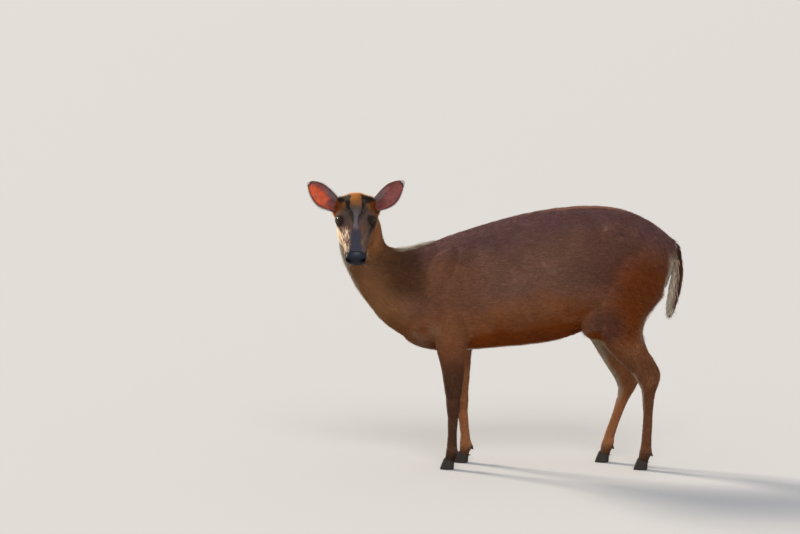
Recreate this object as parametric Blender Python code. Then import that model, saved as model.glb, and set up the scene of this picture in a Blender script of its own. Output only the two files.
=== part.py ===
"""A standing female muntjac, life size, made as a still museum model. Metres, +Z up.

The animal faces -X with its left flank to -Y, and turns its head a quarter turn to its left, to look along -Y.
The trunk, neck, head and legs are modelled as lofts that overlap, fused into one skin-tight body, and then
parted into the named pieces by thin cuts. Ears, eyes, nose pad, tail and claws are pieces of their own.
The body is built about its own median plane, y = 0, and at the end all of it is moved so that the origin lies
on the ground under the middle of its bounding box.
"""

import math
import random

import bmesh
import bpy
from mathutils import Matrix, Vector
from mathutils.bvhtree import BVHTree

# Driving dimensions
GAP = 0.0003
SPECK = 0.00002

# The fused body's mesh
VOXEL = 0.003
SOFTENING = 8
BODY_TRIANGLES = 3000
HEAD_TRIANGLES = 1900

ACROSS = Vector((0, 1, 0))
UPWARD = Vector((0, 0, 1))


for leftover in list(bpy.data.objects):
    bpy.data.objects.remove(leftover)


def material(name, colour, roughness, metallic=0.0):
    made = bpy.data.materials.new(name)
    made.use_nodes = True
    shader = made.node_tree.nodes["Principled BSDF"]
    shader.inputs["Base Color"].default_value = (*colour, 1.0)
    shader.inputs["Roughness"].default_value = roughness
    shader.inputs["Metallic"].default_value = metallic
    made.diffuse_color = (*colour, 1.0)
    return made


COAT = material("coat", (0.22, 0.095, 0.045), 0.8)
FACE = material("face_coat", (0.16, 0.10, 0.075), 0.8)
EAR_SKIN = material("ear_skin", (0.42, 0.20, 0.16), 0.7)
NOSE = material("nose_leather", (0.02, 0.021, 0.026), 0.35)
EYE = material("eye", (0.02, 0.012, 0.008), 0.08)
HORN = material("claw_horn", (0.035, 0.03, 0.028), 0.45)


def linked(name, bm, coat):
    """A named object in the scene from a bmesh, which is freed."""
    bmesh.ops.recalc_face_normals(bm, faces=bm.faces)
    mesh = bpy.data.meshes.new(name)
    bm.to_mesh(mesh)
    bm.free()
    made = bpy.data.objects.new(name, mesh)
    made.data.materials.append(coat)
    bpy.context.scene.collection.objects.link(made)
    return made


def applied(obj):
    """The object with its modifiers made real."""
    graph = bpy.context.evaluated_depsgraph_get()
    mesh = bpy.data.meshes.new_from_object(obj.evaluated_get(graph))
    obj.modifiers.clear()
    obj.data = mesh
    return obj


def eased(stations, steps):
    """Rows of numbers through the given ones, with steps rows to each interval, on a Catmull-Rom spline."""
    rows = []
    last = len(stations) - 1
    for i in range(last):
        before = stations[max(i - 1, 0)]
        start, end = stations[i], stations[i + 1]
        after = stations[min(i + 2, last)]
        for k in range(steps):
            t = k / steps
            row = []
            for a, b, c, d in zip(before, start, end, after):
                bend = (2 * a - 5 * b + 4 * c - d) * t + (3 * b - a - 3 * c + d) * t * t
                row.append(0.5 * (2 * b + (c - a + bend) * t))
            rows.append(row)
    rows.append(list(stations[last]))
    return rows


def superellipse(angle, square):
    """The point at this angle on a unit superellipse, which is a circle when square is 2."""
    c, s = math.cos(angle), math.sin(angle)
    return (
        math.copysign(abs(c) ** (2 / square), c),
        math.copysign(abs(s) ** (2 / square), s),
    )


def loft(bm, sections, segments=28):
    """A closed tube through sections, each (centre, across, up, half width, height above, height below, square)."""
    loops = []
    for centre, across, up, half_width, above, below, square in sections:
        ring = bmesh.ops.create_circle(bm, segments=segments, radius=1.0)["verts"]
        for i, vert in enumerate(ring):
            c, s = superellipse(2 * math.pi * i / segments, square)
            vert.co = centre + across * (half_width * c) + up * (s * (above if s > 0 else below))
        loops.append(list({edge for vert in ring for edge in vert.link_edges}))
    for first, second in zip(loops, loops[1:]):
        bmesh.ops.bridge_loops(bm, edges=first + second)
    for end in (loops[0], loops[-1]):
        bmesh.ops.contextual_create(bm, geom=end)


def ellipsoid(bm, centre, radii, turn=Matrix.Identity(3), segments=24):
    """A ball of three half lengths along the columns of turn."""
    frame = Matrix.Translation(centre) @ turn.to_4x4() @ Matrix.Diagonal((*radii, 1.0))
    bmesh.ops.create_uvsphere(bm, u_segments=segments, v_segments=segments // 2, radius=1.0, matrix=frame)


# Trunk: (x, top of the back, underline, half width), from the breast to the buttocks
TRUNK = (
    (-0.232, 0.455, 0.335, 0.022),
    (-0.214, 0.485, 0.303, 0.046),
    (-0.180, 0.508, 0.281, 0.064),
    (-0.129, 0.532, 0.271, 0.077),
    (-0.060, 0.556, 0.273, 0.086),
    (0.009, 0.577, 0.279, 0.094),
    (0.078, 0.594, 0.285, 0.100),
    (0.147, 0.605, 0.2966, 0.100),
    (0.216, 0.610, 0.322, 0.093),
    (0.285, 0.604, 0.352, 0.085),
    (0.343, 0.582, 0.382, 0.074),
    (0.389, 0.552, 0.417, 0.056),
    (0.418, 0.526, 0.463, 0.028),
)
TRUNK_WIDEST = 0.44
TRUNK_SQUARE = 2.15


def trunk(bm):
    sections = []
    for x, top, bottom, half_width in eased(TRUNK, 3):
        widest = bottom + TRUNK_WIDEST * (top - bottom)
        middle = Vector((x, 0, widest))
        sections.append((middle, ACROSS, UPWARD, half_width, top - widest, widest - bottom, TRUNK_SQUARE))
    loft(bm, sections, 36)


# Neck: (x, y, z) of each section's middle, half depth from throat to nape, half width, and the tilt of its depth
NECK = (
    (-0.105, 0.0, 0.415, 0.115, 0.072, 88),
    (-0.170, 0.0, 0.410, 0.116, 0.070, 82),
    (-0.2277, 0.0, 0.424, 0.094, 0.060, 72),
    (-0.2620, -0.002, 0.446, 0.0730, 0.052, 62),
    (-0.2845, -0.005, 0.466, 0.0615, 0.047, 53),
    (-0.2980, -0.008, 0.490, 0.0575, 0.045, 46),
    (-0.3090, -0.012, 0.523, 0.0560, 0.045, 34),
    (-0.3160, -0.018, 0.562, 0.0500, 0.047, 18),
    (-0.3200, -0.028, 0.598, 0.0420, 0.043, 4),
)


def neck(bm):
    sections = []
    for x, y, z, half_depth, half_width, tilt in eased(NECK, 3):
        turn = math.radians(tilt)
        nape = Vector((math.cos(turn), 0, math.sin(turn)))
        sections.append((Vector((x, y, z)), ACROSS, nape, half_width, half_depth, half_depth, 2.1))
    loft(bm, sections, 32)


# Head: its own frame has its origin midway between the eyes, a along the muzzle, h up through the forehead
EYES_MIDDLE = Vector((-0.3223, -0.080, 0.588))
HEAD_PITCH = math.radians(40)
MUZZLEWARD = Vector((0, -math.cos(HEAD_PITCH), -math.sin(HEAD_PITCH)))
CROWNWARD = Vector((0, -math.sin(HEAD_PITCH), math.cos(HEAD_PITCH)))
SIDEWARD = Vector((1, 0, 0))


HEAD_TURN = Matrix((SIDEWARD, MUZZLEWARD, CROWNWARD)).transposed()


def on_head(a, side, h):
    """A point of the head: a towards the nose, side towards the animal's left, h up."""
    return EYES_MIDDLE + MUZZLEWARD * a + SIDEWARD * side + CROWNWARD * h


# Head sections: (a, top, bottom, half width, height of the widest level, squareness)
HEAD = (
    (-0.088, -0.012, -0.042, 0.020, -0.028, 2.2),
    (-0.078, 0.007, -0.056, 0.033, -0.024, 2.2),
    (-0.062, 0.0205, -0.066, 0.0405, -0.020, 2.3),
    (-0.040, 0.0275, -0.0715, 0.0445, -0.018, 2.4),
    (-0.016, 0.0275, -0.0710, 0.0460, -0.014, 2.4),
    (0.006, 0.0230, -0.0665, 0.0430, -0.018, 2.4),
    (0.020, 0.0185, -0.0615, 0.0370, -0.022, 2.4),
    (0.036, 0.0135, -0.0560, 0.0325, -0.024, 2.4),
    (0.056, 0.0070, -0.0500, 0.0290, -0.024, 2.4),
    (0.080, -0.0010, -0.0465, 0.0262, -0.022, 2.5),
    (0.096, -0.0070, -0.0475, 0.0245, -0.024, 2.5),
    (0.1065, -0.0130, -0.0440, 0.0225, -0.026, 2.4),
    (0.1130, -0.0200, -0.0370, 0.0140, -0.028, 2.2),
)


RIDGE_SPLAY = math.radians(20)


def ridge_turn(side):
    """The turn of a forehead ridge, which spreads away from the nose towards the crown."""
    return HEAD_TURN @ Matrix.Rotation(side * RIDGE_SPLAY, 3, "Z") @ Matrix.Rotation(math.radians(-8), 3, "X")


def head(bm):
    sections = []
    for a, top, bottom, half_width, widest, square in eased(HEAD, 3):
        middle = on_head(a, 0, widest)
        sections.append((middle, SIDEWARD, CROWNWARD, half_width, top - widest, widest - bottom, square))
    loft(bm, sections, 36)
    for side in (-1, 1):
        # The brow over each eye, the cheek bone under it, and the stump that the ear stands on
        ellipsoid(bm, on_head(-0.005, side * 0.0290, 0.0100), (0.0175, 0.0150, 0.0110), HEAD_TURN)
        ellipsoid(bm, on_head(-0.008, side * 0.0350, -0.0175), (0.0125, 0.0270, 0.0130), HEAD_TURN)
        ellipsoid(bm, on_head(-0.058, side * 0.0340, 0.0030), (0.0150, 0.0150, 0.0170))
        # The ridge that runs from between the eyes up to the crown
        ellipsoid(bm, on_head(-0.018, side * 0.0185, 0.0225), (0.0065, 0.0250, 0.0060), ridge_turn(side))
        # The lip below each nostril
        ellipsoid(bm, on_head(0.0930, side * 0.0130, -0.0330), (0.0120, 0.0130, 0.0120))


# Legs: (x, z, y from the median plane, half depth fore and aft, half width, tilt of the depth in degrees)
FORELEG_LEFT = (
    (-0.096, 0.430, 0.046, 0.050, 0.026, 0),
    (-0.097, 0.390, 0.050, 0.054, 0.030, 0),
    (-0.098, 0.349, 0.052, 0.048, 0.031, 0),
    (-0.1024, 0.3072, 0.053, 0.041, 0.029, 0),
    (-0.1028, 0.2748, 0.053, 0.0335, 0.025, 0),
    (-0.0987, 0.2331, 0.052, 0.0272, 0.0205, 0),
    (-0.0975, 0.1914, 0.051, 0.0218, 0.0170, 0),
    (-0.0975, 0.1660, 0.050, 0.0178, 0.0155, 0),
    (-0.0975, 0.1480, 0.050, 0.0172, 0.0165, 0),
    (-0.0978, 0.1250, 0.050, 0.0135, 0.0130, 0),
    (-0.0995, 0.0850, 0.050, 0.0115, 0.0105, 0),
    (-0.1005, 0.0560, 0.050, 0.0122, 0.0112, 0),
    (-0.1005, 0.0400, 0.050, 0.0152, 0.0140, 0),
    (-0.1047, 0.0250, 0.050, 0.0125, 0.0125, 0),
    (-0.1085, 0.0130, 0.050, 0.0125, 0.0115, 0),
)
FORELEG_RIGHT = (
    (-0.092, 0.430, 0.046, 0.050, 0.026, 0),
    (-0.092, 0.390, 0.050, 0.054, 0.030, 0),
    (-0.091, 0.345, 0.052, 0.048, 0.031, 0),
    (-0.0885, 0.2950, 0.053, 0.038, 0.028, 0),
    (-0.0835, 0.2535, 0.052, 0.0295, 0.0225, 0),
    (-0.0794, 0.2025, 0.051, 0.0222, 0.0170, 0),
    (-0.0785, 0.1680, 0.050, 0.0178, 0.0155, 0),
    (-0.0775, 0.1480, 0.050, 0.0172, 0.0165, 0),
    (-0.0755, 0.1250, 0.050, 0.0135, 0.0130, 0),
    (-0.0710, 0.0850, 0.050, 0.0115, 0.0105, 0),
    (-0.0680, 0.0560, 0.050, 0.0122, 0.0112, 0),
    (-0.0670, 0.0400, 0.050, 0.0152, 0.0140, 0),
    (-0.0705, 0.0250, 0.050, 0.0125, 0.0125, 0),
    (-0.0745, 0.0130, 0.050, 0.0125, 0.0115, 0),
)
HINDLEG_LEFT = (
    (0.320, 0.530, 0.036, 0.060, 0.030, 0),
    (0.3128, 0.480, 0.044, 0.083, 0.042, 0),
    (0.3010, 0.412, 0.050, 0.084, 0.042, 0),
    (0.2830, 0.3494, 0.053, 0.067, 0.036, 8),
    (0.2944, 0.3060, 0.054, 0.0475, 0.030, 19),
    (0.3174, 0.2690, 0.055, 0.0365, 0.0245, 27),
    (0.3385, 0.2450, 0.055, 0.0315, 0.0200, 29),
    (0.3545, 0.2170, 0.055, 0.0300, 0.0185, 20),
    (0.3570, 0.1950, 0.055, 0.0225, 0.0175, 14),
    (0.3545, 0.1720, 0.055, 0.0155, 0.0142, 8),
    (0.3535, 0.1310, 0.055, 0.0120, 0.0108, 0),
    (0.3515, 0.0860, 0.055, 0.0118, 0.0105, 0),
    (0.3496, 0.0575, 0.055, 0.0128, 0.0115, 0),
    (0.3485, 0.0412, 0.055, 0.0155, 0.0142, 0),
    (0.3439, 0.0255, 0.055, 0.0125, 0.0125, 0),
    (0.3395, 0.0130, 0.055, 0.0125, 0.0115, 0),
)
HINDLEG_RIGHT = (
    (0.316, 0.530, 0.036, 0.060, 0.030, 0),
    (0.306, 0.480, 0.044, 0.083, 0.042, 0),
    (0.290, 0.412, 0.050, 0.084, 0.042, 0),
    (0.2680, 0.3400, 0.053, 0.066, 0.036, 8),
    (0.2735, 0.2950, 0.054, 0.0475, 0.030, 22),
    (0.2885, 0.2500, 0.055, 0.0365, 0.0245, 28),
    (0.3020, 0.2210, 0.055, 0.0315, 0.0200, 28),
    (0.3135, 0.1930, 0.055, 0.0295, 0.0185, 22),
    (0.3085, 0.1690, 0.055, 0.0210, 0.0172, 12),
    (0.2985, 0.1470, 0.055, 0.0150, 0.0140, 2),
    (0.2860, 0.1120, 0.055, 0.0120, 0.0108, -8),
    (0.2745, 0.0800, 0.055, 0.0118, 0.0105, -10),
    (0.2680, 0.0575, 0.055, 0.0128, 0.0115, -8),
    (0.2645, 0.0412, 0.055, 0.0155, 0.0142, 0),
    (0.2590, 0.0255, 0.055, 0.0125, 0.0125, 0),
    (0.2540, 0.0130, 0.055, 0.0125, 0.0115, 0),
)
LEFT, RIGHT = -1, 1
LEFT_EAR, RIGHT_EAR = -1, 1


def leg(bm, stations, side):
    sections = []
    for x, z, y, half_depth, half_width, tilt in eased(stations, 3):
        turn = math.radians(tilt)
        aft = Vector((math.cos(turn), 0, math.sin(turn)))
        sections.append((Vector((x, side * y, z)), ACROSS, aft, half_width, half_depth, half_depth, 2.0))
    loft(bm, sections, 24)


# Masses of muscle and bone that stand out of the trunk, on each side: (x, y, z), half lengths, and turn about y
MUSCLES = (
    ((-0.128, 0.046, 0.440), (0.048, 0.030, 0.085), 28),
    ((-0.130, 0.050, 0.365), (0.044, 0.029, 0.056), -30),
    ((-0.068, 0.054, 0.322), (0.018, 0.016, 0.026), 20),
    ((0.290, 0.046, 0.435), (0.082, 0.043, 0.115), 14),
    ((0.230, 0.059, 0.352), (0.034, 0.026, 0.048), 20),
    ((0.262, 0.040, 0.548), (0.050, 0.034, 0.034), 0),
)

# Dewclaws behind each fetlock: how far aft and up from the foot's middle, to each side, and half lengths
DEWCLAW_AT = (0.0165, 0.0085, 0.0400)
DEWCLAW_SIZE = (0.0050, 0.0045, 0.0085)

# Feet: (x, y) of each coronet's middle
FEET = {
    "fore_left": (-0.1068, -0.050),
    "fore_right": (-0.0725, 0.050),
    "hind_left": (0.3418, -0.055),
    "hind_right": (0.2565, 0.055),
}
CORONET_HEIGHT = 0.0225
CORONET_SLOPE = -0.35
CORONET_HALF = (0.0120, 0.0060)
SOLE_HALF = (0.0165, 0.0062)
SOLE_FORWARD = 0.0060
CLAW_SPREAD = 0.0062


def body():
    bm = bmesh.new()
    trunk(bm)
    neck(bm)
    head(bm)
    leg(bm, FORELEG_LEFT, LEFT)
    leg(bm, FORELEG_RIGHT, RIGHT)
    leg(bm, HINDLEG_LEFT, LEFT)
    leg(bm, HINDLEG_RIGHT, RIGHT)
    for side in (LEFT, RIGHT):
        for (x, y, z), radii, turn in MUSCLES:
            ellipsoid(bm, Vector((x, side * y, z)), radii, Matrix.Rotation(math.radians(turn), 3, "Y"))
    for x, y in FEET.values():
        aft, aside, up = DEWCLAW_AT
        for side in (-1, 1):
            ellipsoid(bm, Vector((x + aft, y + side * aside, up)), DEWCLAW_SIZE, segments=12)
    made = linked("body", bm, COAT)
    fuse = made.modifiers.new("fuse", "REMESH")
    fuse.mode = "VOXEL"
    fuse.voxel_size = VOXEL
    soften = made.modifiers.new("soften", "SMOOTH")
    soften.factor = 0.5
    soften.iterations = SOFTENING
    applied(made)
    thinned(made, "trunk_and_legs", lambda co: co.y > -0.010 or co.z < 0.50 or co.x > -0.24, BODY_TRIANGLES)
    thinned(made, "face", lambda co: not (co.y > -0.010 or co.z < 0.50 or co.x > -0.24), HEAD_TRIANGLES)
    return made


def thinned(obj, region, inside, wanted):
    """Brings the region's triangles down to about the wanted number, and leaves the rest as it is."""
    chosen = {vert.index for vert in obj.data.vertices if inside(vert.co)}
    obj.vertex_groups.new(name=region).add(list(chosen), 1.0, "REPLACE")
    total = 0
    share = 0
    for face in obj.data.polygons:
        triangles = len(face.vertices) - 2
        total += triangles
        share += triangles * all(v in chosen for v in face.vertices)
    thin = obj.modifiers.new("thin", "DECIMATE")
    thin.decimate_type = "COLLAPSE"
    thin.use_collapse_triangulate = True
    thin.ratio = (total - share + wanted) / total
    thin.vertex_group = region
    applied(obj)


def combined(obj, others, operation, cleaned=True):
    """The object joined with the others, or cut by them, which are then removed."""
    group = bpy.data.collections.new("operands")
    bpy.context.scene.collection.children.link(group)
    for other in others:
        group.objects.link(other)
    change = obj.modifiers.new(operation.lower(), "BOOLEAN")
    change.operation = operation
    change.solver = "EXACT"
    change.operand_type = "COLLECTION"
    change.collection = group
    applied(obj)
    for other in others:
        bpy.data.objects.remove(other)
    bpy.data.collections.remove(group)
    bm = bmesh.new()
    bm.from_mesh(obj.data)
    if cleaned:
        bmesh.ops.dissolve_degenerate(bm, edges=bm.edges, dist=SPECK)
        bmesh.ops.remove_doubles(bm, verts=bm.verts, dist=SPECK)
    bmesh.ops.triangulate(bm, faces=[face for face in bm.faces if len(face.verts) > 3])
    bm.to_mesh(obj.data)
    bm.free()
    return obj


def raised(bm, by):
    """All faces of the sheet extruded by this vector, which makes it a closed body."""
    lifted = bmesh.ops.extrude_face_region(bm, geom=bm.faces[:])["geom"]
    bmesh.ops.translate(bm, verts=[v for v in lifted if isinstance(v, bmesh.types.BMVert)], vec=by)


def grown(obj, by):
    """A copy of the object whose surface lies this much further out."""
    bm = bmesh.new()
    bm.from_mesh(obj.data)
    bm.normal_update()
    for vert in bm.verts:
        vert.co += vert.normal * by
    return linked(obj.name + "_room", bm, obj.data.materials[0])


def islands(bm):
    """The separate closed surfaces of a mesh, each a list of its faces."""
    left = set(bm.faces)
    found = []
    while left:
        patch = [left.pop()]
        for face in patch:
            for edge in face.edges:
                for near in edge.link_faces:
                    if near in left:
                        left.remove(near)
                        patch.append(near)
        found.append(patch)
    return found


def kept(faces, name, coat):
    """One closed surface as an object of its own."""
    bm = bmesh.new()
    copies = {}
    for face in faces:
        for vert in face.verts:
            if vert not in copies:
                copies[vert] = bm.verts.new(vert.co)
        bm.faces.new([copies[vert] for vert in face.verts])
    made = linked(name, bm, coat)
    made.data.shade_smooth()
    made.data.set_sharp_from_angle(angle=math.radians(50))
    return made


def largest(obj):
    """The object with only its largest closed surface."""
    bm = bmesh.new()
    bm.from_mesh(obj.data)
    name, coat = obj.name, obj.data.materials[0]
    patch = max(islands(bm), key=len)
    bpy.data.objects.remove(obj)
    made = kept(patch, name, coat)
    made.name = name
    bm.free()
    return made


# Eyes: the middle of each ball in the head's frame, its radius, the way it looks, the outer radius of the lids
# that close over it, and half the length and height of the slit between them, whose plug starts this far out
EYE_AT = (0.0050, 0.0335, -0.0005)
EYE_RADIUS = 0.0120
EYE_LOOKS = (0.62, 0.77, 0.14)
LID_RADIUS = 0.0138
LID_SLIT = (0.0100, 0.0062)
SLIT_FROM = 0.0040
BALL_FINENESS = 3


def eye_frame(side):
    """The eye's middle, the way it looks, the way to its inner corner, and the way to its upper lid."""
    a, aside, h = EYE_AT
    looks = MUZZLEWARD * EYE_LOOKS[0] + SIDEWARD * (side * EYE_LOOKS[1]) + CROWNWARD * EYE_LOOKS[2]
    looks.normalize()
    corner = MUZZLEWARD - CROWNWARD * 0.35
    corner -= looks * corner.dot(looks)
    corner.normalize()
    upper = looks.cross(corner) * side
    if upper.dot(CROWNWARD) < 0:
        upper.negate()
    return on_head(a, side * aside, h), looks, corner, upper


def slit(side):
    """A plug with the almond outline of the opening between the lids, from inside the ball outwards."""
    middle, looks, corner, upper = eye_frame(side)
    bm = bmesh.new()
    ring = bmesh.ops.create_circle(bm, cap_ends=True, segments=18, radius=1.0)["verts"]
    for vert in ring:
        long, high = LID_SLIT
        point = 1 + 0.15 * max(0.0, vert.co.x) ** 6
        vert.co = middle + looks * SLIT_FROM + corner * (vert.co.x * long * point) + upper * (vert.co.y * high)
    raised(bm, looks * EYE_RADIUS * 2)
    return linked("slit", bm, FACE)


def ball(name, centre, radius, coat):
    bm = bmesh.new()
    bmesh.ops.create_icosphere(bm, subdivisions=BALL_FINENESS, radius=radius, matrix=Matrix.Translation(centre))
    made = linked(name, bm, coat)
    made.data.shade_smooth()
    return made


def hollow(name, centre, radii, turn, segments=10):
    bm = bmesh.new()
    ellipsoid(bm, centre, radii, turn, segments)
    return linked(name, bm, FACE)


# Mouth: a groove round the muzzle at this level, from each corner of the lips to the front
MOUTH_LEVELS = ((0.044, -0.0375), (0.060, -0.0400), (0.076, -0.0400), (0.090, -0.0395))
MOUTH_DEPTH = 0.0030
MOUTH_OPEN = 0.0014


def mouth(tree):
    """A thin band that bites into the muzzle's surface all the way round the lips."""
    bm = bmesh.new()
    line = eased(MOUTH_LEVELS, 3)
    front_a, front_h = line[-1]
    path = [(a, -1, h, SIDEWARD * -1) for a, h in line]
    for degrees in (-66, -44, -22, 0, 22, 44, 66):
        turn = math.radians(degrees)
        path.append((front_a, 0, front_h, SIDEWARD * math.sin(turn) + MUZZLEWARD * math.cos(turn)))
    path += [(a, 1, h, SIDEWARD) for a, h in reversed(line)]
    rows = []
    for k, (a, _, h, way) in enumerate(path):
        start = on_head(a, 0, h)
        hit = tree.ray_cast(start, way)
        shallow = 0.25 if k in (0, len(path) - 1) else 1.0
        inner = start + way * (hit[3] - MOUTH_DEPTH * shallow)
        outer = start + way * (hit[3] + MOUTH_DEPTH)
        rows.append((bm.verts.new(inner), bm.verts.new(outer)))
    for (inner, outer), (next_inner, next_outer) in zip(rows, rows[1:]):
        bm.faces.new((inner, outer, next_outer, next_inner))
    raised(bm, CROWNWARD * MOUTH_OPEN)
    bmesh.ops.triangulate(bm, faces=bm.faces[:])
    return linked("mouth", bm, FACE)


# Nostrils, and the scent gland's slit in front of each eye: place in the head's frame and half lengths
NOSTRIL_AT = (0.1050, 0.0165, -0.0245)
NOSTRIL_SIZE = (0.0050, 0.0070, 0.0034)
NOSTRIL_TURN = math.radians(35)
GLAND_AT = (0.0290, 0.0315, -0.0110)
GLAND_SIZE = (0.0045, 0.0080, 0.0019)


# Ears: half widths of the cup's two edges and its depth at each share of the length
EAR_LENGTH = 0.084
EAR = (
    (-0.10, 0.0120, 0.0130, 0.0150),
    (0.00, 0.0150, 0.0185, 0.0190),
    (0.12, 0.0185, 0.0240, 0.0190),
    (0.28, 0.0225, 0.0285, 0.0165),
    (0.46, 0.0250, 0.0285, 0.0135),
    (0.64, 0.0235, 0.0235, 0.0095),
    (0.80, 0.0165, 0.0150, 0.0055),
    (0.92, 0.0080, 0.0070, 0.0025),
    (1.00, 0.0020, 0.0018, 0.0008),
)
EAR_WALL = 0.0034
EAR_RIM = 0.0013
EAR_FOOT = (-0.0480, 0.0440, -0.0020)
EAR_LIFTS = {LEFT: math.radians(43), RIGHT: math.radians(40)}
EAR_LEANS = math.radians(12)


def ear(name, side):
    """A leaf-shaped cup, open towards the front, whose edges are thin and whose root is nearly a tube."""
    lift = EAR_LIFTS[side]
    a, aside, h = EAR_FOOT
    foot = on_head(a, -side * aside, h)
    along = Vector((-side * math.cos(lift), 0, math.sin(lift)))
    along = (along + ACROSS * math.tan(EAR_LEANS) * 0.6).normalized()
    opening = Vector((0, -1, 0)) + along * along.y
    opening.normalize()
    inner = along.cross(opening)
    if inner.z < 0:
        inner.negate()
    bm = bmesh.new()
    points = 9
    loops = []
    for t, to_inner, to_outer, depth in eased(EAR, 2):
        ring = bmesh.ops.create_circle(bm, segments=2 * points, radius=1.0)["verts"]
        for i, vert in enumerate(ring):
            inside = i >= points
            share = -1 + 2 * (i if not inside else 2 * points - 1 - i) / (points - 1)
            across = share * (to_inner if share > 0 else to_outer)
            wall = EAR_RIM + (EAR_WALL - EAR_RIM) * (1 - share * share)
            bowl = depth * (1 - abs(share) ** 2.3)
            level = -bowl + (wall / 2 if inside else -wall / 2) * (1.0 if t < 0.9 else 0.6)
            vert.co = foot + along * (t * EAR_LENGTH) + inner * across + opening * level
        loops.append(list({edge for vert in ring for edge in vert.link_edges}))
    for first, second in zip(loops, loops[1:]):
        bmesh.ops.bridge_loops(bm, edges=first + second)
    for end in (loops[0], loops[-1]):
        bmesh.ops.contextual_create(bm, geom=end)
    bmesh.ops.triangulate(bm, faces=bm.faces[:])
    made = linked(name, bm, EAR_SKIN)
    made.data.shade_smooth()
    made.data.set_sharp_from_angle(angle=math.radians(60))
    return made


# Tail: (x, z) of its middle, half depth from its bare side to its hairy back, and half width
TAIL = (
    (0.4000, 0.5230, 0.0110, 0.0140, 70),
    (0.4150, 0.5110, 0.0115, 0.0160, 50),
    (0.4215, 0.4900, 0.0110, 0.0190, 5),
    (0.4215, 0.4600, 0.0120, 0.0230, -6),
    (0.4175, 0.4250, 0.0125, 0.0230, -10),
    (0.4110, 0.3900, 0.0100, 0.0180, -14),
    (0.4060, 0.3680, 0.0055, 0.0110, -16),
    (0.4030, 0.3560, 0.0020, 0.0040, -16),
)


# The tail's core fills its outline at the root and half of it further down: (share of the length, share filled),
# and the rump leaves room for the locks' edges, which stand a little past that outline
TAIL_CORE = ((0.0, 1.0), (0.09, 1.0), (0.22, 0.56), (0.80, 0.46), (1.0, 0.30))
TAIL_ROOM = ((0.0, 1.0), (0.07, 1.0), (0.16, 1.45), (1.0, 1.45))

# Its long hair hangs in rows of flat locks, each rooted in the core and bending out to the tail's outline
LOCK_ROWS = 5
LOCKS_AROUND = 6
FIRST_LOCK = 0.07
LOCK_ROW_STEP = 0.168
# A lock's course: (share of the tail's length, share of the way out to its outline, of the width, of the thickness)
LOCK_COURSE = ((0.0, 0.30, 0.7, 1.0), (0.10, 0.70, 1.0, 1.0), (0.20, 0.86, 0.8, 0.85), (0.30, 0.92, 0.12, 0.3))
LOCK_HALF_WIDTH = 0.0080
LOCK_HALF_THICKNESS = 0.0016
LOCK_SPREAD = 0.10
SEED = 7


def tail_section(share):
    """The tail's middle, its hairy back's direction, half depth and half width at this share of its length."""
    rows = eased(TAIL, 4)
    place = max(share, 0.0) * (len(rows) - 1)
    k = min(int(place), len(rows) - 2)
    x, z, half_depth, half_width, tilt = (p + (q - p) * (place - k) for p, q in zip(rows[k], rows[k + 1]))
    turn = math.radians(tilt)
    back = Vector((math.cos(turn), 0, math.sin(turn)))
    return Vector((x, 0, z)), back, max(half_depth, 0.0012), max(half_width, 0.0020)


def filled(shares, place):
    """The share of the tail's outline that is filled at this place along it."""
    for (start, fill), (end, next_fill) in zip(shares, shares[1:]):
        if place <= end:
            return fill + (next_fill - fill) * (place - start) / (end - start)
    return shares[-1][1]


def tail_shape(name, shares):
    """The tail as one smooth form that fills these shares of its outline."""
    bm = bmesh.new()
    sections = []
    steps = 14
    for k in range(steps + 1):
        middle, back, half_depth, half_width = tail_section(k / steps)
        fill = filled(shares, k / steps)
        wide, deep = half_width * fill, half_depth * fill
        sections.append((middle, ACROSS, back, wide, deep, deep, 2.2))
    loft(bm, sections, 12)
    return linked(name, bm, COAT)


def lock(start, angle, size):
    """One flat, tapered lock of hair, from inside the core at this share of the tail, out and down along it."""
    bm = bmesh.new()
    length = min(1.0, (1.03 - start) / LOCK_COURSE[-1][0]) * size
    points = []
    for further, out, wide, thick in LOCK_COURSE:
        middle, back, half_depth, half_width = tail_section(start + further * length)
        outward = back * (half_depth * math.cos(angle)) + ACROSS * (half_width * math.sin(angle))
        points.append((middle + outward * out, outward.normalized(), wide, thick))
    loops = []
    for k, (place, outward, wide, thick) in enumerate(points):
        along = points[min(k + 1, len(points) - 1)][0] - points[max(k - 1, 0)][0]
        across = along.cross(outward).normalized()
        up = across.cross(along).normalized()
        ring = bmesh.ops.create_circle(bm, segments=4, radius=1.0)["verts"]
        for vert in ring:
            aside = across * (vert.co.x * wide * LOCK_HALF_WIDTH)
            vert.co = place + aside + up * (vert.co.y * thick * LOCK_HALF_THICKNESS)
        loops.append(list({edge for vert in ring for edge in vert.link_edges}))
    for first, second in zip(loops, loops[1:]):
        bmesh.ops.bridge_loops(bm, edges=first + second)
    for end in (loops[0], loops[-1]):
        bmesh.ops.contextual_create(bm, geom=end)
    bmesh.ops.triangulate(bm, faces=bm.faces[:])
    return linked("lock", bm, COAT)


def tail():
    """The core with its rows of locks, fused into one closed body."""
    draw = random.Random(SEED)
    core = tail_shape("tail", TAIL_CORE)
    locks = []
    for row in range(LOCK_ROWS):
        for k in range(LOCKS_AROUND):
            angle = 2 * math.pi * (k + 0.5 * (row % 2)) / LOCKS_AROUND + draw.uniform(-LOCK_SPREAD, LOCK_SPREAD)
            start = FIRST_LOCK + LOCK_ROW_STEP * row + draw.uniform(-0.015, 0.015)
            locks.append(lock(start, angle, draw.uniform(0.92, 1.08)))
    return largest(combined(core, locks, "UNION", cleaned=False))


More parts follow.
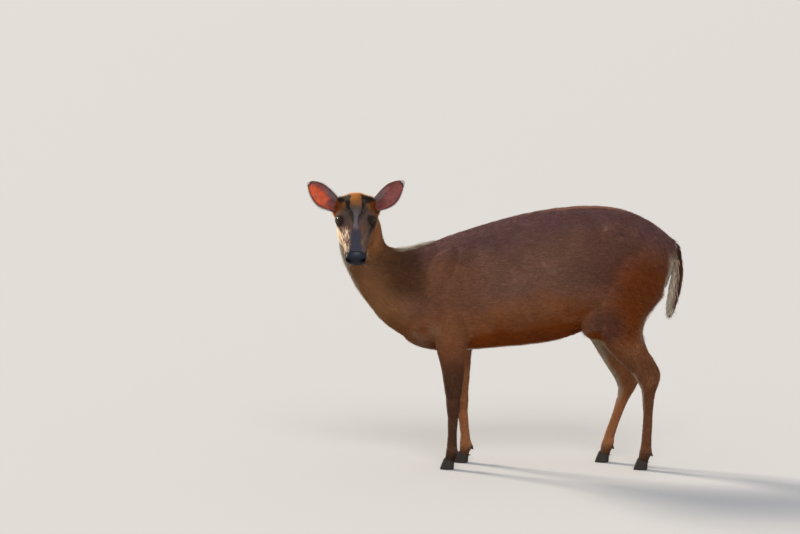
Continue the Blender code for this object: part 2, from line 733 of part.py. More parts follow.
def claw(name, x, y, side):
    """Half of a cloven foot: flat where it meets the other half and on the ground, pointed in front."""
    bm = bmesh.new()
    points = 16
    loops = []
    for level in (0.0, 0.12, 0.5, 1.0):
        half_length = SOLE_HALF[0] + (CORONET_HALF[0] - SOLE_HALF[0]) * level
        half_width = SOLE_HALF[1] + (CORONET_HALF[1] - SOLE_HALF[1]) * level
        if level == 0.0:
            half_length, half_width = half_length * 0.95, half_width * 0.9
        middle = x - SOLE_FORWARD * (1 - level)
        ring = bmesh.ops.create_circle(bm, segments=points, radius=1.0)["verts"]
        for i, vert in enumerate(ring):
            c, s = superellipse(2 * math.pi * i / points, 2.3)
            taper = 1 - 0.45 * max(0.0, -c)
            outward = half_width * s * taper * (1.0 if s > 0 else 0.88)
            px = middle + half_length * c
            top = CORONET_HEIGHT + CORONET_SLOPE * (px - x)
            py = y + side * (CLAW_SPREAD + outward) - side * 0.0022 * max(0.0, -c)
            vert.co = (px, py, level * (top - GAP))
        loops.append(list({edge for vert in ring for edge in vert.link_edges}))
    for first, second in zip(loops, loops[1:]):
        bmesh.ops.bridge_loops(bm, edges=first + second)
    for end in (loops[0], loops[-1]):
        bmesh.ops.contextual_create(bm, geom=end)
    made = linked(name, bm, HORN)
    made.data.shade_smooth()
    made.data.set_sharp_from_angle(angle=math.radians(40))
    return made


def slab(centre, normal, reach):
    """A thin square plate, GAP thick, that parts whatever it passes through."""
    bm = bmesh.new()
    facing = Vector(normal).normalized()
    length = facing.cross(ACROSS).normalized()
    turn = Matrix((length, facing.cross(length), facing)).transposed().to_4x4()
    size = Matrix.Diagonal((*reach, GAP, 1.0))
    bmesh.ops.create_cube(bm, size=1.0, matrix=Matrix.Translation(centre) @ turn @ size)
    return linked("slab", bm, COAT)


def foot_trim(x, y):
    """A block that ends a leg at its coronet, with its upper face along the top of the claws."""
    bm = bmesh.new()
    bmesh.ops.create_cube(bm, size=1.0)
    for vert in bm.verts:
        px = x + vert.co.x * 0.10
        top = CORONET_HEIGHT + CORONET_SLOPE * (px - x)
        vert.co = (px, y + vert.co.y * 0.06, top if vert.co.z > 0 else -0.03)
    return linked("foot_trim", bm, COAT)


# Where the body is parted: (middle of the cut, the way it faces, its reach along the body and its reach across)
CUTS = (
    ((-0.312, -0.005, 0.5500), (0.0, -0.545, 0.838), (0.16, 0.15)),
    ((-0.205, 0.0, 0.425), (-0.94, 0.0, 0.34), (0.40, 0.40)),
    ((-0.015, 0.0, 0.43), (1.0, 0.0, 0.0), (0.40, 0.40)),
    ((0.185, 0.0, 0.45), (1.0, 0.0, 0.0), (0.40, 0.40)),
    ((-0.096, -0.052, 0.266), (0.0, 0.0, 1.0), (0.12, 0.09)),
    ((-0.084, 0.052, 0.266), (0.0, 0.0, 1.0), (0.12, 0.09)),
    ((-0.0975, -0.050, 0.150), (0.0, 0.0, 1.0), (0.06, 0.06)),
    ((-0.0780, 0.050, 0.150), (0.0, 0.0, 1.0), (0.06, 0.06)),
    ((0.286, -0.056, 0.333), (-0.39, 0.0, 0.92), (0.25, 0.105)),
    ((0.271, 0.056, 0.327), (-0.39, 0.0, 0.92), (0.25, 0.105)),
    ((0.3560, -0.055, 0.182), (-0.1, 0.0, 1.0), (0.08, 0.09)),
    ((0.3070, 0.055, 0.163), (-0.3, 0.0, 1.0), (0.08, 0.09)),
)
NOSE_CUT = ((0.0965, 0.0, -0.0220), (0.87, 0.49), (0.07, 0.07))

# The parted pieces: (name, a point near its middle, its material)
PIECES = (
    ("head", (-0.322, -0.070, 0.580), FACE),
    ("nose", (-0.322, -0.142, 0.500), NOSE),
    ("neck", (-0.280, -0.005, 0.460), COAT),
    ("torso_front", (-0.110, 0.0, 0.415), COAT),
    ("torso_middle", (0.085, 0.0, 0.440), COAT),
    ("torso_rear", (0.300, 0.0, 0.450), COAT),
    ("foreleg_left_upper", (-0.100, -0.052, 0.208), COAT),
    ("foreleg_left_lower", (-0.101, -0.050, 0.085), COAT),
    ("foreleg_right_upper", (-0.081, 0.052, 0.208), COAT),
    ("foreleg_right_lower", (-0.071, 0.050, 0.085), COAT),
    ("hindleg_left_upper", (0.318, -0.055, 0.258), COAT),
    ("hindleg_left_lower", (0.351, -0.055, 0.100), COAT),
    ("hindleg_right_upper", (0.290, 0.055, 0.245), COAT),
    ("hindleg_right_lower", (0.278, 0.055, 0.090), COAT),
)


def middle_of(faces):
    corners = [vert.co for face in faces for vert in face.verts]
    low = Vector(map(min, zip(*corners)))
    high = Vector(map(max, zip(*corners)))
    return (low + high) / 2


def parted(obj):
    """Each piece of the cut body as its own object, named by the nearest of the places in PIECES."""
    bm = bmesh.new()
    bm.from_mesh(obj.data)
    bpy.data.objects.remove(obj)
    found = {}
    for patch in islands(bm):
        middle = middle_of(patch)
        name, _, coat = min(PIECES, key=lambda piece: (Vector(piece[1]) - middle).length)
        if name not in found or len(found[name][0]) < len(patch):
            found[name] = (patch, coat)
    for name, (patch, coat) in found.items():
        kept(patch, name, coat)
    bm.free()


def model():
    flesh = body()
    ears = [ear("ear_left", LEFT_EAR), ear("ear_right", RIGHT_EAR)]
    tail()
    combined(flesh, [ball("lids", eye_frame(side)[0], LID_RADIUS, FACE) for side in (-1, 1)], "UNION")
    graph = bmesh.new()
    graph.from_mesh(flesh.data)
    tree = BVHTree.FromBMesh(graph)
    graph.free()
    details = [mouth(tree)]
    for side in (-1, 1):
        middle = eye_frame(side)[0]
        details += [ball("socket", middle, EYE_RADIUS + GAP, FACE), slit(side)]
        a, aside, h = NOSTRIL_AT
        turn = HEAD_TURN @ Matrix.Rotation(side * -NOSTRIL_TURN, 3, "Z")
        details.append(hollow("nostril", on_head(a, side * aside, h), NOSTRIL_SIZE, turn))
        a, aside, h = GLAND_AT
        turn = HEAD_TURN @ Matrix.Rotation(side * math.radians(20), 3, "Z")
        details.append(hollow("gland", on_head(a, side * aside, h), GLAND_SIZE, turn))
    combined(flesh, details, "DIFFERENCE")
    tail_room = tail_shape("tail_room", TAIL_ROOM)
    combined(flesh, [grown(piece, GAP) for piece in ears] + [grown(tail_room, GAP)], "DIFFERENCE")
    bpy.data.objects.remove(tail_room)
    combined(flesh, [foot_trim(x, y) for x, y in FEET.values()], "DIFFERENCE")
    cuts = [slab(Vector(centre), normal, reach) for centre, normal, reach in CUTS]
    (a, aside, h), (forward, up), reach = NOSE_CUT
    cuts.append(slab(on_head(a, aside, h), MUZZLEWARD * forward + CROWNWARD * up, reach))
    combined(flesh, cuts, "DIFFERENCE")
    parted(flesh)
    for side, name in ((1, "eye_left"), (-1, "eye_right")):
        ball(name, eye_frame(side)[0], EYE_RADIUS, EYE)
    for foot, (x, y) in FEET.items():
        for side, which in ((-1, "a"), (1, "b")):
            claw(f"claw_{foot}_{which}", x, y, side)


def settled():
    """Moves everything so that the origin lies on the ground under the middle of the bounding box."""
    meshes = [obj for obj in bpy.data.objects if obj.type == "MESH"]
    corners = [vert.co for obj in meshes for vert in obj.data.vertices]
    low = Vector(map(min, zip(*corners)))
    high = Vector(map(max, zip(*corners)))
    shift = Vector((-(low.x + high.x) / 2, -(low.y + high.y) / 2, -low.z))
    for obj in meshes:
        obj.data.transform(Matrix.Translation(shift))


model()
settled()
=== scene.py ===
import math

import bmesh
import bpy
import numpy as np
from mathutils import Matrix, Vector
from mathutils.bvhtree import BVHTree


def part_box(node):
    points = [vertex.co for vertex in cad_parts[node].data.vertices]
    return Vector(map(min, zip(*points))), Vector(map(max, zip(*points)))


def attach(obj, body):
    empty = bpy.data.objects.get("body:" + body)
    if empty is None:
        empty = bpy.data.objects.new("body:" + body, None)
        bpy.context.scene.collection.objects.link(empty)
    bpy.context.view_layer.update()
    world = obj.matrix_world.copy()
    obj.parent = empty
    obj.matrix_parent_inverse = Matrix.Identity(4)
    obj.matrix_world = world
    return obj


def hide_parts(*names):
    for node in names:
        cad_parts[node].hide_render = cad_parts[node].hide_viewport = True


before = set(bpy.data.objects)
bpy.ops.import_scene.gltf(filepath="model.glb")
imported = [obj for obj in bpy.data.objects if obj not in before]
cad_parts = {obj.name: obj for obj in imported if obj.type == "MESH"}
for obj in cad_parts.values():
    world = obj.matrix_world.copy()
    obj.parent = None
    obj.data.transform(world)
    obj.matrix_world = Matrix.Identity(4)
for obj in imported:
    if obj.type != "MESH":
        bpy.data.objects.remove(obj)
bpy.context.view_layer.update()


# Camera
# A long lens twelve metres away looks square at the left flank from a little above the back's level.
# It is aimed by the point midway between the eyes, whose place in the picture is known.
PIXEL = 0.0023
PICTURE_MIDDLE = (400, 267)
EYES_PIXEL = (355.9, 220.5)
CAMERA_DISTANCE = 12.0
CAMERA_RISE = math.radians(7)
PICTURE_WIDTH = 800
SENSOR = 36.0
FARTHEST = 200.0

eye_boxes = {side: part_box(name) for side, name in ((1, "eye_left"), (-1, "eye_right"))}
EYES = {side: (low + high) / 2 for side, (low, high) in eye_boxes.items()}
EYE_RADIUS = (eye_boxes[1][1].x - eye_boxes[1][0].x) / 2
BROW = (EYES[1] + EYES[-1]) / 2


def object_of(name, data):
    """A mesh, a lens or a lamp as a named object of the scene."""
    made = bpy.data.objects.new(name, data)
    bpy.context.scene.collection.objects.link(made)
    return made


lens = bpy.data.cameras.new("camera")
lens.sensor_width = SENSOR
lens.lens = SENSOR * CAMERA_DISTANCE / (PICTURE_WIDTH * PIXEL)
lens.clip_end = FARTHEST
camera = object_of("camera", lens)
bpy.context.scene.camera = camera
back = Vector((0, -math.cos(CAMERA_RISE), math.sin(CAMERA_RISE)))
up = Vector((0, math.sin(CAMERA_RISE), math.cos(CAMERA_RISE)))
aim = BROW + Vector((PIXEL * (PICTURE_MIDDLE[0] - EYES_PIXEL[0]), 0, 0))
aim -= up * (PIXEL * (PICTURE_MIDDLE[1] - EYES_PIXEL[1]))
camera.location = aim + back * CAMERA_DISTANCE
camera.rotation_mode = "QUATERNION"
camera.rotation_quaternion = (-back).to_track_quat("-Z", "Y")


# Floor and light
# A pale matt floor runs on out of sight, under a soft white sky. Broad sunlight comes from the front, and a
# warmer one from behind on the left puts a pale edge on the back, the ears and the fringe of the coat.


class Wire:
    """A socket of a material, which sums and products turn into maths nodes."""

    def __init__(self, finish, socket):
        self.finish = finish
        self.socket = socket

    def maths(self, operation, other):
        return self.finish.node("ShaderNodeMath", {"operation": operation}, {0: self, 1: other})

    def __add__(self, other):
        return self.maths("ADD", other)

    def __mul__(self, other):
        return self.maths("MULTIPLY", other)

    def __pow__(self, other):
        return self.maths("POWER", other)

    __radd__ = __add__
    __rmul__ = __mul__


class Finish:
    """A material with a principled shader, whose constants are set by name."""

    def __init__(self, name, **constants):
        self.material = bpy.data.materials.new(name)
        self.material.use_nodes = True
        self.tree = self.material.node_tree
        self.shader = self.tree.nodes["Principled BSDF"]
        for socket, value in constants.items():
            self.shader.inputs[socket.replace("_", " ")].default_value = value

    def node(self, kind, settings, values, output=0):
        """A node with these settings, its sockets set to numbers or linked to wires."""
        made = self.tree.nodes.new(kind)
        for setting, value in settings.items():
            setattr(made, setting, value)
        for socket, value in values.items():
            if isinstance(value, Wire):
                self.tree.links.new(value.socket, made.inputs[socket])
            else:
                made.inputs[socket].default_value = value
        return Wire(self, made.outputs[output])

    def drive(self, socket, wire):
        self.tree.links.new(wire.socket, self.shader.inputs[socket])

    def place(self):
        return self.node("ShaderNodeTexCoord", {}, {}, "Object")

    def attribute(self, name, output="Color"):
        """What the mesh keeps at each point under this name."""
        return self.node("ShaderNodeAttribute", {"attribute_name": name}, {}, output)

    def noise(self, scale, detail=2.0, stretch=None):
        """Noise over the object's own place, a value round 0.5."""
        where = self.place()
        if stretch:
            where = self.node("ShaderNodeMapping", {}, {"Vector": where, "Scale": stretch})
        return self.node("ShaderNodeTexNoise", {}, {"Vector": where, "Scale": scale, "Detail": detail})

    def blend(self, share, first, second):
        """Two colours mixed."""
        return self.node("ShaderNodeMix", {"data_type": "RGBA"}, {0: share, 6: first, 7: second}, 2)

    def span(self, wire, low, high, new_low=0.0, new_high=1.0):
        """The wire's range stretched to a new one, and held there."""
        values = {"Value": wire, 1: low, 2: high, 3: new_low, 4: new_high}
        return self.node("ShaderNodeMapRange", {}, values)

    def bump(self, height, distance, strength=1.0):
        values = {"Height": height, "Distance": distance, "Strength": strength}
        self.drive("Normal", self.node("ShaderNodeBump", {}, values))

    def cover(self, mesh):
        """The mesh in this material, smooth all over."""
        mesh.materials.clear()
        mesh.materials.append(self.material)
        mesh.shade_smooth()


def mesh_of(name, bm):
    """The bmesh as a mesh of this name."""
    made = bpy.data.meshes.new(name)
    bm.to_mesh(made)
    bm.free()
    return made


FLOOR_SIZE = 90.0
FLOOR_COLOUR = (0.45, 0.455, 0.465, 1.0)
SKY_COLOUR = (0.94, 0.96, 1.0, 1.0)
SKY_STRENGTH = 0.62

# Each sun's place, how many degrees its disc is across, its strength and its colour
SUNS = {
    "front_sun": ((0.3, -3.4, 2.6), 24, 1.45, (1.0, 0.97, 0.93)),
    "edge_sun": ((-2.9, 2.4, 1.8), 15, 5.0, (1.0, 0.87, 0.70)),
}

bm = bmesh.new()
bmesh.ops.create_grid(bm, x_segments=4, y_segments=4, size=FLOOR_SIZE / 2)
floor_mesh = mesh_of("floor", bm)
floor = object_of("floor", floor_mesh)
floor_finish = Finish("floor", Base_Color=FLOOR_COLOUR, Roughness=0.9)
floor_mesh.materials.append(floor_finish.material)

for name, (place, breadth, strength, colour) in SUNS.items():
    light = bpy.data.lights.new(name, "SUN")
    light.angle = math.radians(breadth)
    light.energy = strength
    light.color = colour
    sun = object_of(name, light)
    sun.location = place
    sun.rotation_euler = (-Vector(place)).to_track_quat("-Z", "Y").to_euler()
sky = bpy.data.worlds.new("sky")
sky.use_nodes = True
sky.node_tree.nodes["Background"].inputs["Color"].default_value = SKY_COLOUR
sky.node_tree.nodes["Background"].inputs["Strength"].default_value = SKY_STRENGTH
bpy.context.scene.world = sky
bpy.context.scene.view_settings.view_transform = "Standard"


# Markings
# The coat is chestnut, greyer along the back, tawny on the belly's edge and white under it, with dark legs.
# The grey face has two black stripes that part from the nose bridge up to the crown, round an orange tuft.
HEAD_PITCH = math.radians(40)
MUZZLEWARD = Vector((0, -math.cos(HEAD_PITCH), -math.sin(HEAD_PITCH)))
CROWNWARD = Vector((0, -math.sin(HEAD_PITCH), math.cos(HEAD_PITCH)))
SIDEWARD = Vector((1, 0, 0))
EYE_AT = (0.0050, 0.0335, -0.0005)
EYE_LOOKS = (0.60, 0.70, 0.36)
HEAD_MIDDLE = BROW - MUZZLEWARD * EYE_AT[0] - CROWNWARD * EYE_AT[2]
MEDIAN = sum(corner.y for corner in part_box("torso_middle")) / 2

CHESTNUT = (0.400, 0.150, 0.062)
FLANK_GREY = (0.330, 0.160, 0.108)
BACK_BROWN = (0.260, 0.132, 0.128)
HIP_BROWN = (0.270, 0.115, 0.080)
SHOULDER_BROWN = (0.325, 0.130, 0.062)
TAWNY = (0.310, 0.066, 0.003)
THIGH_PAINTED_SHADOW = (0.150, 0.065, 0.050)
CREAM = (0.700, 0.560, 0.400)
WHITE = (0.880, 0.770, 0.600)
NECK_BROWN = (0.440, 0.200, 0.080)
# painted rim light along the top of the back
BACK_RIM_LIGHT = (0.800, 0.370, 0.210)
FRINGE_PINK = (0.460, 0.270, 0.190)
BREAST_GREY = (0.430, 0.270, 0.135)
OLIVE_BROWN = (0.100, 0.038, 0.014)
LEG_BROWN = (0.140, 0.055, 0.026)
LEG_RUFOUS = (0.560, 0.220, 0.085)
FACE_GREY = (0.165, 0.106, 0.086)
STRIP_LILAC = (0.255, 0.215, 0.250)
FOREHEAD = (0.420, 0.190, 0.070)
STRIPE_BLACK = (0.010, 0.008, 0.008)
CROWN_ORANGE = (0.400, 0.140, 0.016)
CROWN_RIM_LIGHT = (0.640, 0.330, 0.100)
TEMPLE_ORANGE = (0.320, 0.085, 0.005)
RIGHT_CHEEK_PAINTED_SHADE = (0.125, 0.055, 0.042)
MUZZLE_BROWN = (0.200, 0.095, 0.062)
BRIDGE_BLUE = (0.064, 0.062, 0.094)
EYE_DARK = (0.022, 0.008, 0.005)
CHEEK_TAN = (0.530, 0.215, 0.080)

# The outlines of the back and the belly, as (x, z), which the strokes of the trunk's hair follow
BACK_LINE = (
    (-0.22, 0.490), (-0.14, 0.527), (-0.06, 0.557), (0.02, 0.580), (0.10, 0.598),
    (0.18, 0.609), (0.26, 0.607), (0.34, 0.581), (0.42, 0.529),
)
BELLY_LINE = (
    (-0.22, 0.285), (-0.14, 0.266), (-0.06, 0.267), (0.02, 0.275), (0.10, 0.289),
    (0.18, 0.304), (0.26, 0.318), (0.34, 0.345), (0.42, 0.400),
)
TRUNK_HEIGHT = 0.29

# The broad patches of hip, shoulder and thigh: strength, middle as (x, z), reach and colour. The dark patch
# low on the thigh's front is a painted shadow
PATCHES = (
    (0.8, (0.262, 0.485), 0.130, HIP_BROWN),
    (0.7, (-0.125, 0.420), 0.130, SHOULDER_BROWN),
    (0.85, (0.345, 0.425), 0.125, TAWNY),
    (0.75, (0.295, 0.350), 0.075, TAWNY),
    (0.65, (0.245, 0.340), 0.070, THIGH_PAINTED_SHADOW),
)

# The bend between nape and back, as (x, z), and the length, width and depth of one stroke of hair
NAPE_MIDDLE = (-0.166, 0.621)
STROKE = (0.034, 0.014, 0.0042)

# The stripes: (towards the nose, middle to the side, half width), and the thin lines drawn outside them
STRIPE = (
    (-0.062, 0.0270, 0.0150),
    (-0.055, 0.0265, 0.0155),
    (-0.045, 0.0240, 0.0125),
    (-0.033, 0.0215, 0.0082),
    (-0.020, 0.0185, 0.0046),
    (-0.010, 0.0168, 0.0022),
    (0.000, 0.0122, 0.0014),
    (0.0135, 0.0070, 0.0012),
    (0.026, 0.0062, 0.0009),
    (0.037, 0.0058, 0.0002),
)
SIDE_LINES = (0.0044, 0.0084)
BRIDGE_HALF = ((0.024, 0.0060), (0.040, 0.0095), (0.060, 0.0115), (0.080, 0.0120), (0.096, 0.0180))
MOUTH_LEVELS = ((0.044, -0.0375), (0.060, -0.0400), (0.076, -0.0400), (0.090, -0.0395))
GLAND_AT = (0.0290, 0.0315, -0.0110)
NOSE_CUT = ((0.0965, -0.0220), (0.87, 0.49))
PAD_TOP = 0.0965
PAD_SPREAD = 0.20


def onset(value, low, high):
    """0 below low, 1 above high, and an even slope between."""
    t = np.clip((value - low) / (high - low), 0.0, 1.0)
    return t * t * (3 - 2 * t)


def fade(value, low, high):
    """1 below low, 0 above high, and an even slope between."""
    return 1 - onset(value, low, high)


def peak(value, width):
    """1 where the value is 0, and less the farther it is from that."""
    return np.exp(-((value / width) ** 2))


def head_places(points):
    """How far points lie towards the nose, to the animal's left and up through the forehead, in the head."""
    return (points - np.array(HEAD_MIDDLE)) @ np.array([MUZZLEWARD, SIDEWARD, CROWNWARD]).T


def head_point(a, side, h):
    """The point at this place in the head."""
    return HEAD_MIDDLE + MUZZLEWARD * a + SIDEWARD * side + CROWNWARD * h


def mouth_level(a):
    """The height in the head of the line between the lips."""
    return np.interp(a, *np.array(MOUTH_LEVELS).T)


def mottle(points, size, seed):
    """Random values from -1 to 1 that change smoothly over about this size, in each direction of its own."""
    table = np.random.default_rng(seed).uniform(-1, 1, 4096)
    place = points / np.array(size)
    cell = np.floor(place).astype(np.int64)
    share = place - cell
    share = share * share * (3 - 2 * share)
    total = np.zeros(len(points))
    for corner in np.ndindex(2, 2, 2):
        step = cell + corner
        key = (step[:, 0] * 73856093) ^ (step[:, 1] * 19349663) ^ (step[:, 2] * 83492791)
        weight = np.prod(np.where(corner, share, 1 - share), axis=1)
        total += table[key & 4095] * weight
    return total


def laid(colours, *layers):
    """The colours with each layer's colour laid over them in turn, by its share at each point."""
    for share, colour in layers:
        colours = colours + (np.array(colour) - colours) * np.clip(share, 0.0, 1.0)[:, None]
    return colours


def spot(points, middle, reach):
    """1 round a place on the flank, given as (x, z), and 0 from this distance on."""
    return fade(np.hypot(points[:, 0] - middle[0], points[:, 2] - middle[1]), 0.3 * reach, reach)


def flank_level(points):
    """How far up the trunk points lie, from the belly's outline to the back's."""
    back = np.interp(points[:, 0], *np.array(BACK_LINE).T)
    belly = np.interp(points[:, 0], *np.array(BELLY_LINE).T)
    return TRUNK_HEIGHT * (points[:, 2] - belly) / (back - belly)


def nape_turn(points):
    """The angle of points round the bend between the nape and the back."""
    return np.arctan2(NAPE_MIDDLE[1] - points[:, 2], NAPE_MIDDLE[0] - points[:, 0])


def strokes(points, fineness):
    """The light and dark strokes, from -1 to 1, that the lie of the hair draws on neck, trunk and legs."""
    x, y, z = points.T
    out = np.hypot(x - NAPE_MIDDLE[0], z - NAPE_MIDDLE[1])
    turn = nape_turn(points)
    size = np.array(STROKE) / fineness
    trunk = mottle(np.stack([x, y, flank_level(points)], axis=1), size, 8)
    neck = mottle(np.stack([0.2 * turn, y, out], axis=1), size, 9)
    leg = mottle(np.stack([z, y, x], axis=1), size, 10)
    drawn = trunk + (neck - trunk) * fade(x, -0.20, -0.13)
    return drawn + (leg - drawn) * fade(z, 0.25, 0.31)


def fringes(points, normals):
    """How far each point belongs to the fringe of the nape, of the haunch and of the throat."""
    x, _, z = points.T
    ragged = normals[:, 2] + 0.05 * mottle(points, 0.005, 12)
    nape = onset(ragged, 0.92, 1.0) * onset(x, -0.262, -0.225) * fade(x, -0.175, -0.135)
    haunch = onset(normals[:, 0], 0.50, 0.85) * onset(x, 0.30, 0.33) * fade(np.abs(z - 0.365), 0.050, 0.080)
    throat = onset(-normals[:, 0], 0.70, 0.95) * fade(x, -0.235, -0.205) * (z > 0.33)
    return nape, haunch, throat


def pad_inset(points):
    """How far inside the border of the nose's bare pad points lie."""
    a, side, h = head_places(points).T
    front = (a - NOSE_CUT[0][0]) * NOSE_CUT[1][0] + (h - NOSE_CUT[0][1]) * NOSE_CUT[1][1]
    return np.minimum(front, a - PAD_TOP - PAD_SPREAD * np.maximum(np.abs(side) - 0.010, 0.0))


def eye_distance(points):
    """The distance to the nearer eye's middle."""
    return np.min([np.linalg.norm(points - np.array(EYES[side]), axis=1) for side in (-1, 1)], axis=0)


def body_colours(points, normals):
    """The coat's colour on the trunk, the neck and the legs."""
    x, y, z = points.T
    wander = mottle(points, 0.022, 1)
    up = normals[:, 2] + 0.14 * wander
    fore = normals[:, 0] + 0.10 * wander
    outer = np.sign(y - MEDIAN) * normals[:, 1]
    aside = np.abs(y - MEDIAN)
    level = flank_level(points) + 0.02 * wander
    olive = spot(points, (-0.215, 0.470), 0.090) * onset(-x, 0.14, 0.20)
    under = onset(z, 0.235, 0.285)
    inmost = fade(aside, 0.014, 0.034) * onset(-up, 0.86, 0.99) * onset(x, -0.20, -0.12)
    neck_share = onset(-x, 0.185, 0.255)
    sunlit_ridge = onset(normals[:, 2] + 0.04 * strokes(points, 1.6), 0.95, 1.01) * onset(x, -0.17, -0.14)
    nape, haunch, throat = fringes(points, normals)
    scut = onset(fore, 0.45, 0.8) * onset(0.050 - aside, 0.0, 0.014)
    scut *= onset(x, 0.33, 0.37) * onset(0.515 - z, 0.0, 0.03)
    low = fade(z, 0.215, 0.300)
    shank = (x > 0.19) * fade(z, 0.335, 0.375) * onset(z, 0.120, 0.190)
    far = y > MEDIAN
    leading = onset(-fore + 0.25 * far, 0.50, 0.85) * np.where(far, 1.0, fade(z, 0.305, 0.335))
    trailing = onset(-outer, 0.55, 0.95) * onset(z, 0.24, 0.32)
    return laid(
        np.tile(CHESTNUT, (len(points), 1)),
        (onset(level, 0.075, 0.150), FLANK_GREY),
        (0.9 * onset(level, 0.200, 0.275), BACK_BROWN),
        *((share * spot(points, middle, reach), colour) for share, middle, reach, colour in PATCHES),
        (under * onset(-up, 0.22, 0.62), TAWNY),
        (under * inmost, WHITE),
        (0.85 * neck_share, NECK_BROWN),
        (0.35 * neck_share * onset(-fore, 0.45, 0.95), BREAST_GREY),
        (0.75 * olive, OLIVE_BROWN),
        (0.22 * (1 + wander) * spot(points, (-0.172, 0.308), 0.055), CREAM),
        # painted rim light: a pinkish line along the top of the back, where the hide faces straight up
        (0.60 * sunlit_ridge, BACK_RIM_LIGHT),
        # painted rim light: the crest of the nape is painted near white
        (0.9 * nape, WHITE),
        (0.80 * haunch, FRINGE_PINK),
        # painted rim light: a thin near-white line down the throat's front edge
        (0.9 * throat, WHITE),
        (scut, WHITE),
        (low, LEG_BROWN),
        (0.35 * low * onset(x, 0.10, 0.15), LEG_RUFOUS),
        (0.85 * low * onset(-outer, -0.15, 0.45), LEG_RUFOUS),
        # cream down the front edge of the hind shanks is the hair's own colour, spread wider on the far leg
        # as painted rim light
        (0.85 * shank * leading, CREAM),
        (0.60 * shank * trailing, CREAM),
        (0.35 * (x < 0.0) * low * onset(-fore, 0.72, 0.95), BREAST_GREY),
        (0.6 * fade(z, 0.025, 0.055), STRIPE_BLACK),
    )


def face_colours(points, colours):
    """These colours with the markings of the head over them."""
    a, side, h = head_places(points).T
    drift = 0.0016 * mottle(points, 0.007, 3) + 0.0008 * mottle(points, 0.0025, 4)
    out = np.abs(side) + drift
    along = a + 2 * drift
    right = side < 0
    head = onset(a, -0.090, -0.070) * (h > -0.085) * (np.abs(side) < 0.062)
    brow = head * onset(h, -0.040, -0.018)
    muzzle = onset(along, 0.010, 0.040) * onset(h, -0.046, -0.030)
    muzzle *= 1 - 0.6 * onset(out, 0.018, 0.028)
    temple = onset(out, 0.026, 0.036) * fade(along, -0.012, 0.008)
    tuft = fade(along, -0.034, -0.014) * fade(out, 0.009, 0.016)
    half = np.interp(along, *np.array(BRIDGE_HALF).T, left=0.0)
    bridge = onset(half - out, -0.004, 0.003) * onset(along, 0.026, 0.056) * (h > -0.040)
    strip = fade(out, 0.0035, 0.0085) * onset(along, -0.012, 0.004) * fade(along, 0.030, 0.050)
    middle, width = (np.interp(along, np.array(STRIPE)[:, 0], row) for row in np.array(STRIPE).T[1:])
    stripe = onset(width - np.abs(out - middle), -0.0012, 0.0008) * onset(along, -0.061, -0.056)
    stripe *= along < 0.036
    colours = laid(
        colours,
        (head, CHEEK_TAN),
        (brow * onset(along, -0.034, -0.008), FACE_GREY),
        (0.80 * head * muzzle, MUZZLE_BROWN),
        (brow * fade(along, -0.030, -0.004) * (out < 0.040), FOREHEAD),
        (brow * temple, TEMPLE_ORANGE),
        (brow * tuft, CROWN_ORANGE),
        (head * bridge, BRIDGE_BLUE),
        (0.9 * brow * strip, STRIP_LILAC),
        (0.96 * brow * stripe, STRIPE_BLACK),
    )
    for place in SIDE_LINES:
        line = fade(np.abs(out - middle - place * (1 - 10 * (along + 0.013))), 0.0005, 0.0013)
        span = onset(along, -0.022, -0.012) * fade(along, 0.016, 0.026)
        colours = laid(colours, (0.85 * brow * line * span, STRIPE_BLACK))
    # painted rim light: a pale orange edge along the top of the crown
    rim = head * fade(along, -0.063, -0.056) * (h > -0.035)
    forth = np.maximum(a, 0.0)
    # painted light on the right side of the face: cream along the jowl's edge, and cream streaks over a
    # painted darker shade on the cheek
    sunlit_jowl = onset(out + 0.2 * forth, 0.028, 0.034) * onset(-h - 0.25 * forth, 0.004, 0.016)
    sunlit_jowl *= head * right * onset(a, -0.030, -0.010)
    streak = mottle(np.stack([side, a, h], axis=1), (0.0012, 0.0110, 0.0022), 5)
    streak -= np.interp(along, (0.028, 0.050, 0.090), (0.45, 0.20, 0.00))
    cheek = head * onset(out, 0.011, 0.016) * onset(along, 0.022, 0.038) * fade(along, 0.086, 0.098)
    level = mouth_level(a)
    chin = head * onset(level - h, 0.002, 0.006) * fade(out, 0.016, 0.026)
    lip = fade(np.abs(h - level), 0.0010, 0.0026) * onset(a, 0.040, 0.046)
    near = eye_distance(points) + drift
    near += 0.50 * np.maximum(EYE_AT[0] - a, 0.0) - 0.12 * np.maximum(a - EYE_AT[0], 0.0)
    gland = np.hypot((a - GLAND_AT[0]) / 0.010, (h - GLAND_AT[2]) / 0.0045)
    return laid(
        colours,
        # painted rim light along the crown's top edge
        (rim, CROWN_RIM_LIGHT),
        # painted rim light along the right jowl; below, painted shade and painted sunlit streaks on the right
        # cheek, with only a little of the streaks kept on the left as the cheek's own colour
        (0.95 * sunlit_jowl, CREAM),
        (0.85 * cheek * right * fade(out, 0.027, 0.033), RIGHT_CHEEK_PAINTED_SHADE),
        (cheek * np.where(right, 1.0, 0.15) * onset(streak, -0.05, 0.10), CREAM),
        (chin * onset(a, -0.02, 0.03), WHITE),
        (head * lip, EYE_DARK),
        # the front of the lips under the nose is painted dark: partly the lips' own dark skin, partly painted
        # shadow under the nose
        (head * onset(a, 0.088, 0.096) * onset(-h, 0.010, 0.020), EYE_DARK),
        (0.9 * head * fade(near, 0.0140, 0.0185), EYE_DARK),
        (head * onset(pad_inset(points), -0.0014, -0.0006), STRIPE_BLACK),
        (0.9 * head * (out > 0.02) * fade(gland, 0.6, 1.2), EYE_DARK),
    )


